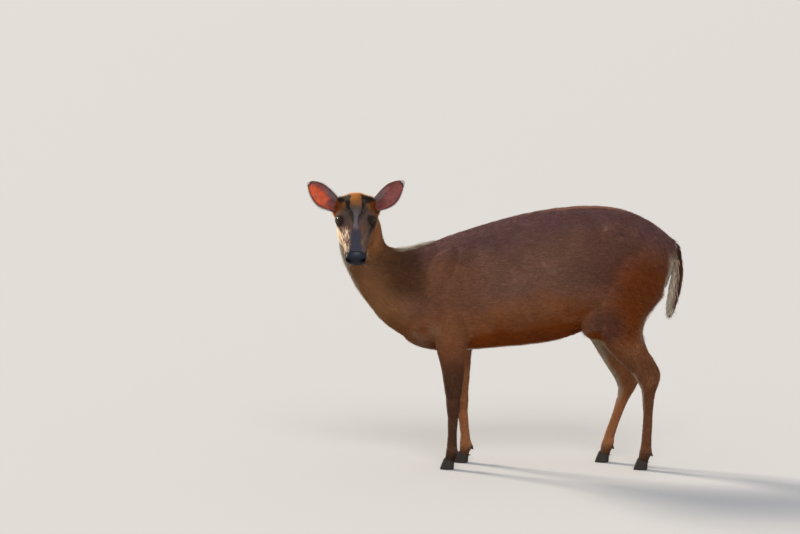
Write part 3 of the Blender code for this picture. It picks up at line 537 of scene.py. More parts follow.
def coat_colours(points, normals):
    """The colour of the hair that grows at each of these points."""
    colours = face_colours(points, body_colours(points, normals))
    shade = 1 + 0.16 * mottle(points, 0.035, 6) + 0.08 * mottle(points, 0.008, 7)
    behind = fade(head_places(points)[:, 0], -0.110, -0.080)
    shade += behind * (0.58 * strokes(points, 1.0) + 0.55 * strokes(points, 2.2))
    return np.clip(colours * shade[:, None], 0.004, 0.95)


# Skin
# One unbroken hide from the lips to the coronets. It lies under the outline of the body by the depth of the
# coat, and the lids, lips, nostrils and scent glands are worked into it.
FLESHY = ("torso", "neck", "head", "nose", "foreleg", "hindleg")
FLESH = [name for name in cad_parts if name.split("_")[0] in FLESHY]
VOXEL = 0.0016
EVENING = (0.5, -0.53) * 14
HEAD_HALF = 0.060
CHEST_FRONT = 0.05
HEAD_DETAIL = 0.35
STUMP_AT = (-0.052, 0.032, 0.014)
STUMP_REACH = (0.016, 0.030)
SOFTENING = (0.6,) * 90
CROWN_DROP = 0.0050
OVERLAP = 0.0004
WELD = 0.000001
WEAR = (0.5, -0.51)

# Where the hide is cut finer: round the eyes, along the lips and from the nose's root forwards
FINE_EYE = 0.0190
FINE_LIP = 0.004
FINE_LIP_START = 0.040
FINE_NOSE_START = 0.090
HEAD_FLOOR = -0.080

# A point counts as folded over where its normal departs this much from those about it
FOLDED = 0.85
FOLD_SPREAD = 0.02

# The folds under the ears and the angles of the jaw: place in the head, half sizes and lean in degrees
LUMPS = (
    ((-0.049, 0.0450, -0.0330), (0.0100, 0.0150, 0.0210), 24),
    ((0.003, 0.0290, -0.0520), (0.0140, 0.0260, 0.0280), 10),
)
LID_BALL = 0.0136
BODY_SHARE = 0.17

# The lids: how far out they lie, the sunken floor that the eye covers, and the almond between them, as
# shares of the eye's radius
LID_RADIUS = 0.0133
LID_FLOOR = 0.0105
LID_SWELL = 0.0004
LID_FOLD = 0.0007
LID_STEP = 0.0001
LID_RIM = (0.80, 1.30)
LEAST_OPENING = 0.02
ALMOND = (0.84, 0.58)
LIP_HALF = 0.0011
MOUTH_DEPTH = 0.0018
LOWEST_LIP = 0.470
GLAND_HALF = (0.0070, 0.0016)
GLAND_DEPTH = 0.0022
PAD_HEART = (0.080, 0.0, -0.024)
NOSE_SHRINK = 0.20
NOSTRIL_AT = (0.1050, 0.0165, -0.0245)

# The coat by region: the hair's length, the width of a tuft, how steeply it stands, and its layers
COATS = {
    "torso": (0.0155, 0.00100, 12, 2.8),
    "neck": (0.0160, 0.00090, 12, 3.0),
    "head": (0.0050, 0.00070, 18, 1.9),
    "nose": (0.0030, 0.00060, 16, 1.6),
    "foreleg_upper": (0.0095, 0.00090, 12, 2.0),
    "foreleg_lower": (0.0060, 0.00080, 12, 1.9),
    "hindleg_upper": (0.0115, 0.00095, 12, 2.0),
    "hindleg_lower": (0.0062, 0.00080, 12, 1.9),
}

# On the face the hair is shorter towards the muzzle and longer towards the crown and the cheeks
FACE_LENGTH = 0.0058
FACE_CHANGE = 0.0030
FACE_WIDTH = (0.0003, 0.0600)
EYE_SURROUND = (0.0140, 0.0200)
SOFT_BORDER = (0.7,) * 40
NAPE_TURNS = (math.radians(4), math.radians(90))
LEG_WAY = (0.12, 0.0, -1.0)
RUMP_WAY = (-0.45, 0.0, -0.75)
LEVEL_STEP = 0.04
SUNK = 0.85
HOLLOW_LIFT = 0.70
RISE_LIFT = 0.30
SKIN_SHADE = 0.72
SKIN_GRAIN = (0.3, 0.7, 0.0, 0.45)
UNWRAP_ANGLE = 1.15
UNWRAP_GAP = 0.002
BLACK = (0.0, 0.0, 0.0, 1.0)


def settled(obj):
    """The object's mesh with its modifiers made real."""
    graph = bpy.context.evaluated_depsgraph_get()
    mesh = bpy.data.meshes.new_from_object(obj.evaluated_get(graph))
    obj.modifiers.clear()
    obj.data = mesh
    return mesh


def remeshed(obj, voxel):
    """The object's mesh as one closed surface of cells this large."""
    remesh = obj.modifiers.new("remesh", "REMESH")
    remesh.mode = "VOXEL"
    remesh.voxel_size = voxel
    return settled(obj)


def points_of(mesh):
    """The mesh's points, as rows of an array."""
    flat = np.empty(len(mesh.vertices) * 3)
    mesh.vertices.foreach_get("co", flat)
    return flat.reshape(-1, 3)


def normals_of(mesh):
    """The direction in which the surface faces at each point."""
    flat = np.empty(len(mesh.vertices) * 3)
    mesh.vertex_normals.foreach_get("vector", flat)
    return flat.reshape(-1, 3)


def edges_of(mesh):
    """The two points of each edge."""
    flat = np.empty(len(mesh.edges) * 2, dtype=np.int32)
    mesh.edges.foreach_get("vertices", flat)
    return flat.reshape(-1, 2)


def moved(mesh, points):
    """The mesh with its points in new places."""
    mesh.vertices.foreach_set("co", points.astype(np.float32).ravel())
    mesh.update()


def unit(rows):
    """The rows as directions."""
    return rows / np.maximum(np.linalg.norm(rows, axis=1), 1e-9)[:, None]


def laid_flat(ways, normals):
    """Directions turned into the surface that faces along these normals."""
    return unit(ways - normals * np.sum(ways * normals, axis=1)[:, None])


def neighbourly(values, edges, shares):
    """Values at the points, each drawn towards the mean of its neighbours by these shares in turn."""
    values = values.astype(float).copy()
    a, b = edges.T
    size = len(values)
    count = np.maximum(np.bincount(a, minlength=size) + np.bincount(b, minlength=size), 1)
    for share in shares:
        for column in range(values.shape[1]):
            v = values[:, column]
            total = np.bincount(a, v[b], size) + np.bincount(b, v[a], size)
            v += (total / count - v) * share
    return values


def coloured(mesh, name, colours):
    """The mesh with a colour at each point, in an attribute of this name."""
    layer = mesh.color_attributes.new(name, "FLOAT_COLOR", "POINT")
    rows = np.ones((len(colours), 4), dtype=np.float32)
    rows[:, :3] = colours
    layer.data.foreach_set("color", rows.ravel())


def clean_copy(name):
    """A bmesh of a CAD node's surface, its loose triangles joined."""
    piece = bmesh.new()
    piece.from_mesh(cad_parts[name].data)
    bmesh.ops.remove_doubles(piece, verts=piece.verts, dist=WELD)
    piece.normal_update()
    return piece


def worn_copy(node, name, voxel, rounds):
    """A CAD node's surface as an object of its own, its edges worn round in this many rounds."""
    made = object_of(name, mesh_of(name, clean_copy(node)))
    mesh = remeshed(made, voxel)
    moved(mesh, neighbourly(points_of(mesh), edges_of(mesh), WEAR * rounds))
    return made


bm = bmesh.new()
for name in FLESH:
    piece = clean_copy(name)
    for vert in piece.verts:
        vert.co += vert.normal * OVERLAP
    lump = mesh_of("lump", piece)
    bm.from_mesh(lump)
    bpy.data.meshes.remove(lump)
for side in (-1, 1):
    bmesh.ops.create_icosphere(bm, subdivisions=4, radius=LID_BALL, matrix=Matrix.Translation(EYES[side]))
    for (a, aside, h), half, lean in LUMPS:
        turn = Matrix.Rotation(math.radians(side * lean), 4, "Y") @ Matrix.Diagonal((*half, 1.0))
        turn = Matrix.Translation(head_point(a, side * aside, h)) @ turn
        bmesh.ops.create_icosphere(bm, subdivisions=4, radius=1.0, matrix=turn)
skin = object_of("skin", mesh_of("skin", bm))
mesh = remeshed(skin, VOXEL)
points = points_of(mesh)
edges = edges_of(mesh)
even = neighbourly(points, edges, EVENING)
a, side, h = head_places(points).T
on_the_head = onset(a, -0.10, -0.06) * (np.abs(side) < HEAD_HALF) * (points[:, 1] < CHEST_FRONT)
even = points + (even - points) * (1 - HEAD_DETAIL * on_the_head)[:, None]

# The trunk, the leg joints and the stumps of the ears are drawn softer, and the crown slopes to the sides
softer = neighbourly(even, edges, SOFTENING)
rounded = softer + neighbourly(even - softer, edges, SOFTENING)
soft_body = onset(points[:, 2], 0.265, 0.320) * fade(a, -0.13, -0.08)
stump = np.linalg.norm(np.stack([a, np.abs(side), h], axis=1) - np.array(STUMP_AT), axis=1)
sloped = onset(np.abs(side), 0.012, 0.036) * onset(-a, 0.026, 0.050)
sloped *= fade(-a, 0.085, 0.110) * onset(h, -0.020, 0.0) * (np.abs(side) < HEAD_HALF)
even += (rounded - even) * soft_body[:, None]
even += (softer - even) * fade(stump, *STUMP_REACH)[:, None]
even[:, 2] -= CROWN_DROP * sloped
moved(mesh, even)

coarse = skin.vertex_groups.new(name="coarse")
coarse.add([int(index) for index in np.flatnonzero(on_the_head < 0.5)], 1.0, "REPLACE")
thin = skin.modifiers.new("thin", "DECIMATE")
thin.ratio = BODY_SHARE
thin.vertex_group = "coarse"
thin.use_collapse_triangulate = True
skin_mesh = settled(skin)

# Slivers that the thinning folded over are drawn flat again
edges = edges_of(skin_mesh)
for _ in range(4):
    normals = normals_of(skin_mesh)
    folded = np.sum(normals * unit(neighbourly(normals, edges, (0.7,) * 6)), axis=1) < FOLDED
    folded = neighbourly(folded[:, None], edges, (0.5,) * 2) > FOLD_SPREAD
    flat = neighbourly(points_of(skin_mesh), edges, (0.5,) * 3)
    moved(skin_mesh, np.where(folded, flat, points_of(skin_mesh)))

# The surroundings of the eyes, the nose and the lips are cut finer before they are shaped
points = points_of(skin_mesh)
a, side, h = head_places(points).T
lips = (a > FINE_LIP_START) * (np.abs(h - mouth_level(a)) < FINE_LIP)
fine = (eye_distance(points) < FINE_EYE) | lips | (a > FINE_NOSE_START)
fine &= (points[:, 2] > LOWEST_LIP) & (np.abs(side) < HEAD_HALF) & (h > HEAD_FLOOR)
bm = bmesh.new()
bm.from_mesh(skin_mesh)
cuts = [edge for edge in bm.edges if all(fine[vert.index] for vert in edge.verts)]
bmesh.ops.subdivide_edges(bm, edges=cuts, cuts=1)
bmesh.ops.triangulate(bm, faces=bm.faces[:])
bm.to_mesh(skin_mesh)
bm.free()

# Each point's kind of coat, from the nearest CAD node, with soft borders
nodes_tree = bmesh.new()
owner = []
for index, name in enumerate(FLESH):
    nodes_tree.from_mesh(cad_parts[name].data)
    owner += [index] * (len(nodes_tree.faces) - len(owner))
tree = BVHTree.FromBMesh(nodes_tree)
nodes_tree.free()
points = points_of(skin_mesh)
normals = normals_of(skin_mesh)
edges = edges_of(skin_mesh)
nearest = np.array(owner)[[tree.find_nearest(place)[2] for place in points]]


def kind_of(name):
    """A CAD node's entry among the kinds of coat."""
    words = name.split("_")
    return words[0] if words[0] in COATS else f"{words[0]}_{words[-1]}"


kinds = np.array([COATS[kind_of(name)] for name in FLESH], dtype=float)[nearest]
a, side, h = head_places(points).T
on_face = np.isin(nearest, [FLESH.index("head"), FLESH.index("nose")])
longer = onset(-a, 0.030, 0.060) + onset(-h, 0.020, 0.045) * fade(a, 0.01, 0.05) - onset(a, 0.00, 0.06)
near_eye = fade(eye_distance(points), *EYE_SURROUND)
face_length = (FACE_LENGTH + FACE_CHANGE * longer) * (1 - 0.55 * near_eye)
kinds[on_face, 0] = face_length[on_face]
kinds[on_face, 1] = FACE_WIDTH[0] + FACE_WIDTH[1] * face_length[on_face]
kinds = neighbourly(kinds, edges, SOFT_BORDER[:12])
kinds = np.where(on_face[:, None], kinds, neighbourly(kinds, edges, SOFT_BORDER))
hair_length, hair_width, hair_lift, hair_layers = kinds.T

# The way the hair lies: away from the nose, down the neck, aft along the trunk and down the legs
x, y, z = points.T
turn = np.clip(nape_turn(points), *NAPE_TURNS)
still = np.zeros(len(points))
ways = np.stack([np.sin(turn), still, -np.cos(turn)], axis=1)
step = np.array([LEVEL_STEP / 2, 0.0, 0.0])
risen = flank_level(points - step) - flank_level(points + step)
slope = risen / LEVEL_STEP * 0.85 - 0.10
behind_neck = onset(x, -0.19, -0.09)[:, None]
aft = behind_neck * np.stack([still + 1.0, still, slope], axis=1)
rump = onset(x, 0.24, 0.38)[:, None] * np.array(RUMP_WAY)
names = np.array([kind_of(name) for name in FLESH])[nearest]
ways = np.where((names == "torso")[:, None], ways * (1 - behind_neck) + aft + rump, ways)
legs = np.array(["leg" in name for name in names])[:, None]
ways = np.where(legs, np.array(LEG_WAY), ways)
ways = np.where(on_face[:, None], -np.array(MUZZLEWARD) - np.array(CROWNWARD) * 0.25, ways)
for _ in range(3):
    ways = laid_flat(neighbourly(ways, edges, (0.8,) * 12), normals)

# Hair stands up where the hide rises ahead of it, and lies closer where it falls away
base_lift = hair_lift.copy()
first, second = edges.T
sums = np.zeros((2, len(points)))
for here, there in ((first, second), (second, first)):
    run = np.sum((points[there] - points[here]) * ways[here], axis=1)
    tilt = np.sum((normals[there] - normals[here]) * ways[here], axis=1)
    sums += [np.bincount(here, run * tilt, len(points)), np.bincount(here, run * run, len(points))]
hollow = neighbourly(-(sums[0] / np.maximum(sums[1], 1e-9))[:, None], edges, SOFT_BORDER[:24])[:, 0]
hair_lift += np.degrees(hair_length * np.where(hollow > 0, HOLLOW_LIFT, RISE_LIFT) * hollow)

# The hide is sunk by the coat's depth, but not at the lids, the lips and the edge of the hooves
pad = pad_inset(points)
bare = on_face * onset(pad, -0.0004, 0.0008)
depth = hair_length * np.sin(np.radians(base_lift)) * SUNK
depth *= (1 - near_eye) * (1 - bare) * onset(z, 0.016, 0.030)
points = points - normals * depth[:, None]
groove = peak(h - mouth_level(a), LIP_HALF) * onset(a, 0.040, 0.048)
gland_up = h - GLAND_AT[2]
gland_out = np.hypot((a - GLAND_AT[0] - 0.35 * gland_up) / GLAND_HALF[0], gland_up / GLAND_HALF[1])
points -= normals * (groove * MOUTH_DEPTH * on_face)[:, None]
points -= normals * (peak(gland_out, 1.0) * GLAND_DEPTH * on_face)[:, None]
heart = np.array(head_point(*PAD_HEART))
points -= (points - heart) * (NOSE_SHRINK * on_face * onset(pad, 0.0, 0.0045))[:, None]


def eye_frame(side):
    """The way an eye looks, the way to its inner corner, and the way to its upper lid."""
    looks = MUZZLEWARD * EYE_LOOKS[0] + SIDEWARD * (side * EYE_LOOKS[1]) + CROWNWARD * EYE_LOOKS[2]
    looks.normalize()
    corner = MUZZLEWARD - CROWNWARD * 0.35
    corner -= looks * corner.dot(looks)
    corner.normalize()
    upper = looks.cross(corner) * side
    if upper.dot(CROWNWARD) < 0:
        upper.negate()
    return looks, corner, upper


def almond_height(across):
    """Half the height of the opening between the lids, at this place along it."""
    return ALMOND[1] * np.clip(1 - np.abs(across / ALMOND[0]) ** 1.9, 0.0, 1.0) ** 0.85


for side in (-1, 1):
    looks, corner, upper = (np.array(way) for way in eye_frame(side))
    offset = points - np.array(EYES[side])
    reach = np.linalg.norm(offset, axis=1)
    place = unit(offset) @ np.array([corner, upper, looks]).T
    across, high, out = place.T
    close = (reach < EYE_SURROUND[1]) & (out > 0.25)
    half = almond_height(across)
    open_here = half > LEAST_OPENING
    measure = np.where(open_here, np.abs(high) / np.maximum(half, LEAST_OPENING), 3 + np.abs(across))
    rim = close & (measure > LID_RIM[0]) & (measure < LID_RIM[1])
    inside = close & (measure <= LID_RIM[0])
    high = np.where(rim, np.sign(high) * half, high)
    out = np.sqrt(np.clip(1 - across**2 - high**2, 0.0, 1.0))
    fold = peak(measure - 1.55, 0.16) * (high > 0) * open_here
    swell = peak(measure - 1.25, 0.25)
    lid_reach = np.maximum(reach, LID_RADIUS) + LID_SWELL * swell - LID_FOLD * fold
    new_reach = np.where(inside, LID_FLOOR, lid_reach)
    new_reach = np.where(rim, LID_RADIUS - LID_STEP, new_reach)
    ways_out = np.stack([across, high, out], axis=1) @ np.array([corner, upper, looks])
    points = np.where(close[:, None], np.array(EYES[side]) + ways_out * new_reach[:, None], points)

moved(skin_mesh, points)
skin_normals = unit(neighbourly(normals_of(skin_mesh), edges, (0.6,) * 4))
coloured(skin_mesh, "Coat", coat_colours(points, skin_normals) * SKIN_SHADE)


def unwrapped(obj):
    """The object's mesh with a map of its own shape."""
    obj.select_set(True)
    bpy.context.view_layer.objects.active = obj
    bpy.ops.object.mode_set(mode="EDIT")
    bpy.ops.mesh.select_all(action="SELECT")
    bpy.ops.uv.smart_project(angle_limit=UNWRAP_ANGLE, island_margin=UNWRAP_GAP)
    bpy.ops.object.mode_set(mode="OBJECT")
    obj.select_set(False)
    obj.data.uv_layers[0].name = "OFBake"


unwrapped(skin)
hide = Finish("coat_skin", Roughness=0.75, Specular_IOR_Level=0.25)
shade = hide.attribute("Coat")
hairs = hide.noise(620.0, 3.0, stretch=(1.0, 1.0, 0.35))
hide.drive("Base Color", hide.blend(hide.span(hairs, *SKIN_GRAIN), shade, BLACK))
hide.bump(hairs, 0.0008, 0.7)
hide.cover(skin_mesh)
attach(skin, "root")
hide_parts(*FLESH)


# Eyes
# Each eye is a dark, wet ball that fills the space between the lids, with a slightly domed front, a brown
# iris and a pupil that lies crosswise. A thin black margin runs round the lids.
EYE_FINENESS = 6
DOME = 0.035
DOME_SPREAD = 0.55
IRIS = 0.80
PUPIL = (0.46, 0.24)
IRIS_TONES = ((0.020, 0.008, 0.004, 1.0), (0.060, 0.022, 0.008, 1.0))
IRIS_EDGE = (0.010, 0.007, 0.006, 1.0)
PUPIL_BLACK = (0.002, 0.002, 0.003, 1.0)
MARGIN_STEPS = 56
MARGIN_SIDES = 8
MARGIN_HALF = 0.00045
MARGIN_SUNK = 0.0002
MARGIN_BLACK = (0.012, 0.010, 0.010, 1.0)


def ring_edges(ring):
    """The edges between the points of a ring."""
    return list({edge for vert in ring for edge in vert.link_edges})


def bridged(bm, loops):
    """Bands of faces from each ring of edges to the next."""
    for first, second in zip(loops, loops[1:]):
        bmesh.ops.bridge_loops(bm, edges=first + second)


margin = Finish("lid_margin", Base_Color=MARGIN_BLACK, Roughness=0.38, Specular_IOR_Level=0.5)
margin.bump(margin.noise(2600.0), 0.0002, 0.5)

for side, name in ((1, "eye_left"), (-1, "eye_right")):
    looks, corner, upper = eye_frame(side)
    bm = bmesh.new()
    bmesh.ops.create_icosphere(bm, subdivisions=EYE_FINENESS, radius=1.0)
    for vert in bm.verts:
        off_axis = vert.co.angle(looks)
        vert.co = EYES[side] + vert.co * EYE_RADIUS * (1 + DOME * math.exp(-((off_axis / DOME_SPREAD) ** 2)))
    eye = object_of(name + "_ball", mesh_of(name + "_ball", bm))
    gloss = Finish(name, Roughness=0.10, Coat_Weight=0.15, Coat_Roughness=0.02, Specular_IOR_Level=0.22)
    centre = {1: tuple(EYES[side])}
    outward = gloss.node("ShaderNodeVectorMath", {"operation": "SUBTRACT"}, {0: gloss.place(), **centre})

    def share_along(way):
        """How far out the surface lies this way, as a share of the radius."""
        values = {0: outward, 1: tuple(way)}
        return gloss.node("ShaderNodeVectorMath", {"operation": "DOT_PRODUCT"}, values, 1) * (1 / EYE_RADIUS)

    x = share_along(corner)
    y = share_along(upper)
    rays = gloss.noise(900.0, 2.0)
    iris_out = (x * x + y * y) ** 0.5
    pupil_out = ((x * (1 / PUPIL[0])) ** 2.0 + (y * (1 / PUPIL[1])) ** 2.0) ** 0.5
    iris = gloss.blend(rays, *IRIS_TONES)
    ringed = gloss.blend(gloss.span(iris_out, IRIS - 0.10, IRIS), iris, IRIS_EDGE)
    gloss.drive("Base Color", gloss.blend(gloss.span(pupil_out, 0.90, 1.05), PUPIL_BLACK, ringed))
    gloss.cover(eye.data)
    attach(eye, "root")
    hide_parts(name)

    bm = bmesh.new()
    loops = []
    for k in range(MARGIN_STEPS):
        angle = 2 * math.pi * k / MARGIN_STEPS
        across = ALMOND[0] * math.cos(angle)
        high = math.copysign(float(almond_height(across * 0.999)), math.sin(angle))
        way = corner * across + upper * high + looks * math.sqrt(1 - across**2 - high**2)
        outer_way = corner * math.cos(angle) + upper * math.sin(angle)
        outer_way = (outer_way - way * outer_way.dot(way)).normalized()
        ring = bmesh.ops.create_circle(bm, segments=MARGIN_SIDES, radius=MARGIN_HALF)["verts"]
        for vert in ring:
            vert.co = EYES[side] + way * (LID_RADIUS - MARGIN_SUNK + vert.co.x) + outer_way * vert.co.y
        loops.append(ring_edges(ring))
    bridged(bm, loops + loops[:1])
    bmesh.ops.recalc_face_normals(bm, faces=bm.faces)
    lid_margin = object_of(name + "_lid_margin", mesh_of(name + "_lid_margin", bm))
    margin.cover(lid_margin.data)
    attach(lid_margin, "root")


# Nose
# The bare pad over the upper lip is wet black leather, pebbled all over, with a comma of a nostril on each
# side and a shallow groove down the middle.
NOSE_VOXEL = 0.0008
NOSTRIL_HALF = (0.0062, 0.0036)
NOSTRIL_TURN = math.radians(35)
NOSTRIL_DEPTH = 0.0052
NOSTRIL_RIM = 0.0009
GROOVE_HALF = 0.0009
GROOVE_DEPTH = 0.0008
PAD_MIDDLE = -0.0240
PAD_SHRINK = 0.22
PAD_TONES = ((0.004, 0.003, 0.004, 1.0), (0.009, 0.008, 0.010, 1.0))
NOSTRIL_SHADE = (0.001, 0.001, 0.001, 1.0)

# A painted bluish sheen, standing for the sky's reflection, lies on the top of the pad between these heights
SHEEN_LEVELS = (0.499, 0.514)
PAINTED_SKY_SHEEN = (0.010, 0.015, 0.030, 1.0)

nose = worn_copy("nose", "nose_pad", NOSE_VOXEL, 10)
nose_mesh = nose.data
points = points_of(nose_mesh)
normals = normals_of(nose_mesh)
a, side, h = head_places(points).T
inset = pad_inset(points)
across = np.abs(side) - NOSTRIL_AT[1]
down = h - NOSTRIL_AT[2]
c, s = math.cos(NOSTRIL_TURN), math.sin(NOSTRIL_TURN)
along = (across * c + down * s) / NOSTRIL_HALF[0]
over = (-across * s + down * c) / NOSTRIL_HALF[1] - 0.35 * along**2
nostril = np.hypot(along, over)
push = -NOSTRIL_DEPTH * fade(nostril, 0.55, 1.05)
push += NOSTRIL_RIM * peak(nostril - 1.35, 0.28)
push -= GROOVE_DEPTH * peak(side, GROOVE_HALF) * onset(-h, 0.022, 0.028)
push -= MOUTH_DEPTH * peak(h - MOUTH_LEVELS[-1][1], LIP_HALF)
push *= onset(inset, 0.0012, 0.0040)
points += normals * push[:, None]
inward = np.outer(side, SIDEWARD) + np.outer(h - PAD_MIDDLE, CROWNWARD)
moved(nose_mesh, points - inward * (PAD_SHRINK * fade(inset, -0.0014, 0.0008))[:, None])
coloured(nose_mesh, "Hole", np.repeat(fade(nostril, 0.6, 1.0)[:, None], 3, axis=1))

leather = Finish("nose_leather", Specular_IOR_Level=0.16)
pebble = leather.node("ShaderNodeTexVoronoi", {"feature": "F1"}, {"Vector": leather.place(), "Scale": 950.0})
cloud = leather.noise(420.0, 3.0)
hole = leather.attribute("Hole", "Fac")
dark = leather.blend(cloud, *PAD_TONES)
height = leather.node("ShaderNodeSeparateXYZ", {}, {"Vector": leather.place()}, "Z")
# painted reflection: the top of the pad turns bluish
sheened = leather.blend(leather.span(height, *SHEEN_LEVELS), dark, PAINTED_SKY_SHEEN)
# painted shade: the insides of the nostrils are near black
leather.drive("Base Color", leather.blend(hole, sheened, NOSTRIL_SHADE))
leather.drive("Roughness", leather.span(cloud, 0.35, 0.65, 0.28, 0.42))
leather.drive("Coat Weight", leather.span(cloud, 0.3, 0.6, 0.02, 0.08))
leather.bump(pebble, 0.0005, 0.55)
leather.cover(nose_mesh)
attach(nose, "root")
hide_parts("nose")


# Coat
# Short hair in flat tufts that lap over each other like thatch, away from the nose, down the neck and legs
# and aft along the body. Each tuft is a closed spike rooted in the hide, darker at its root than at its tip.
PIECE_TUFTS = 48000
PATCH = 0.003
COURSE = ((0.0, 1.0, 0.55),)
TIP_SHADE = 1.25
ROOT_SUNK = 0.0006
TUFT_DEPTH = 0.55
FILL = 0.60
HAIR_GRAIN = (0.35, 0.70, 0.0, 0.35)
LEAST_LIFT = math.radians(5)
MOST_LIFT = math.radians(38)

# How much longer and steeper the hair is over the hooves and in the fringes of nape, haunch and throat
FRINGE_LENGTHS = (0.0045, 0.0070, 0.0080, 0.0020)
FRINGE_LIFTS = (9, 9, 9, 5)


def at_roots(values, corners, shares):
    """Values of the mesh's points, at places inside its faces."""
    return np.einsum("ij,ij...->i...", shares, values[corners])


def even_roots(mesh, density, normals, draw):
    """Roots spread over a mesh by the count wanted for a square metre round each point: the corners of the
    faces and their shares in them, the roots, the ways out of the surface, and the places on the unwrap.
    """
    corners = np.empty(len(mesh.polygons) * 3, dtype=np.int32)
    mesh.polygons.foreach_get("vertices", corners)
    corners = corners.reshape(-1, 3)
    spots = points_of(mesh)[corners]
    area = np.linalg.norm(np.cross(spots[:, 1] - spots[:, 0], spots[:, 2] - spots[:, 0]), axis=1) / 2
    reach = np.cumsum(area * density[corners].mean(axis=1))
    count = int(reach[-1])
    faces = np.searchsorted(reach, (np.arange(count) + draw.random(count)) * reach[-1] / count)
    faces = np.minimum(faces, len(corners) - 1)
    p, q = draw.random((2, count))
    flip = p + q > 1
    p, q = np.where(flip, 1 - p, p), np.where(flip, 1 - q, q)
    shares = np.stack([1 - p - q, p, q], axis=1)
    corners = corners[faces]
    unwrap = np.empty(len(mesh.loops) * 2)
    mesh.uv_layers["OFBake"].data.foreach_get("uv", unwrap)
    patches = np.einsum("ij,ijk->ik", shares, unwrap.reshape(-1, 3, 2)[faces])
    outs = unit(at_roots(normals, corners, shares))
    return corners, shares, at_roots(points_of(mesh), corners, shares), outs, patches


def tufts(
    name, slot, draw, roots, outs, ways, lengths, widths, lifts, colours, patches, course=COURSE, sway=0.12
):
    """A piece of coat: closed, tapered tufts with these roots, each drawn through the rings of its course."""
    count = len(roots)
    sides = unit(np.cross(outs, ways))
    bend = draw.normal(0, sway, count) * lengths
    rise = np.sin(lifts) * lengths
    rings = len(course)
    size = 3 * rings + 1
    places = np.empty((count, size, 3), dtype=np.float32)
    shades = np.empty((count, size, 3), dtype=np.float32)
    unwrap = np.empty((count, size, 2), dtype=np.float32)
    for k, (t, wide, shade) in enumerate(course + ((1.0, 0.0, TIP_SHADE),)):
        lift = rise * t * (1.35 - 0.6 * t) - ROOT_SUNK * (1 - t)
        centre = roots + ways * (lengths * t * np.cos(lifts))[:, None] + outs * lift[:, None]
        centre += sides * (bend * t * t)[:, None]
        if k == rings:
            places[:, -1] = centre
            shades[:, -1] = colours * shade
            unwrap[:, -1] = patches + np.array([0.0, 0.5]) * PATCH
            break
        half = (widths * wide / 2)[:, None]
        for corner, (aside, above) in enumerate(((1, 0), (0, TUFT_DEPTH), (-1, 0))):
            places[:, 3 * k + corner] = centre + sides * half * aside + outs * half * above
            shades[:, 3 * k + corner] = colours * shade
            unwrap[:, 3 * k + corner] = patches + np.array([aside / 2, t / 1.2 - 0.5]) * PATCH
    triangles = [(0, 2, 1)]
    for k in range(rings - 1):
        for first, second in ((0, 1), (1, 2), (2, 0)):
            p, q = 3 * k + first, 3 * k + second
            triangles += [(p, q, q + 3), (p, q + 3, p + 3)]
    last = 3 * (rings - 1)
    triangles += [(last + first, last + second, size - 1) for first, second in ((0, 1), (1, 2), (2, 0))]
    faces = (np.arange(count)[:, None, None] * size + np.array(triangles)[None]).reshape(-1)
    mesh = bpy.data.meshes.new(name)
    mesh.vertices.add(count * size)
    mesh.vertices.foreach_set("co", places.ravel())
    mesh.loops.add(len(faces))
    mesh.loops.foreach_set("vertex_index", faces.astype(np.int32))
    mesh.polygons.add(len(faces) // 3)
    mesh.polygons.foreach_set("loop_start", np.arange(0, len(faces), 3, dtype=np.int32))
    mesh.update(calc_edges=True)
    coloured(mesh, "Coat", np.clip(shades.reshape(-1, 3), 0.0, 1.0))
    layer = mesh.uv_layers.new(name="OFBake")
    layer.data.foreach_set("uv", np.clip(unwrap.reshape(-1, 2)[faces], 0.0005, 0.9995).ravel())
    fur.cover(mesh)
    made = object_of(name, mesh)
    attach(made, "root")


fur = Finish("coat_hair", Roughness=0.65, Specular_IOR_Level=0.12)
grain = fur.span(fur.noise(1500.0, 2.0), *HAIR_GRAIN)
fur.drive("Base Color", fur.blend(grain, fur.attribute("Coat"), BLACK))

draw = np.random.default_rng(11)
skin_points = points_of(skin_mesh)
density = hair_layers / (FILL * hair_length * hair_width) * (1 - bare)
density *= onset(eye_distance(skin_points), LID_RADIUS, LID_RADIUS + 0.0008)
corners, shares, roots, outs, patches = even_roots(skin_mesh, density, skin_normals, draw)
lie = laid_flat(at_roots(ways, corners, shares), outs)
rows = (hair_length, hair_width, np.radians(hair_lift))
lengths, widths, lifts = (at_roots(row, corners, shares) for row in rows)
labels = nearest[corners[:, 0]]
colours = coat_colours(roots, outs)
count = len(roots)
drift = 0.16 * mottle(roots, 0.014, 21) + 0.10 * mottle(roots, 0.005, 22) + draw.normal(0, 0.09, count)
lie = lie * np.cos(drift)[:, None] + np.cross(outs, lie) * np.sin(drift)[:, None]
lengths = lengths * draw.uniform(0.75, 1.2, count) * (1 + 0.12 * mottle(roots, 0.010, 23))
places = (fade(roots[:, 2], 0.024, 0.040), *fringes(roots, outs))
lifts = lifts * (1 + 0.40 * mottle(roots, 0.009, 24)) + draw.normal(0, math.radians(2.5), count)
for share, longer, steeper in zip(places, FRINGE_LENGTHS, FRINGE_LIFTS):
    lengths += longer * share
    lifts += math.radians(steeper) * share
lifts = np.clip(lifts, LEAST_LIFT, MOST_LIFT)
widths = widths * draw.uniform(0.8, 1.2, count)
colours = colours * (1 + draw.normal(0, 0.15, count))[:, None] * draw.uniform(0.96, 1.04, (count, 3))
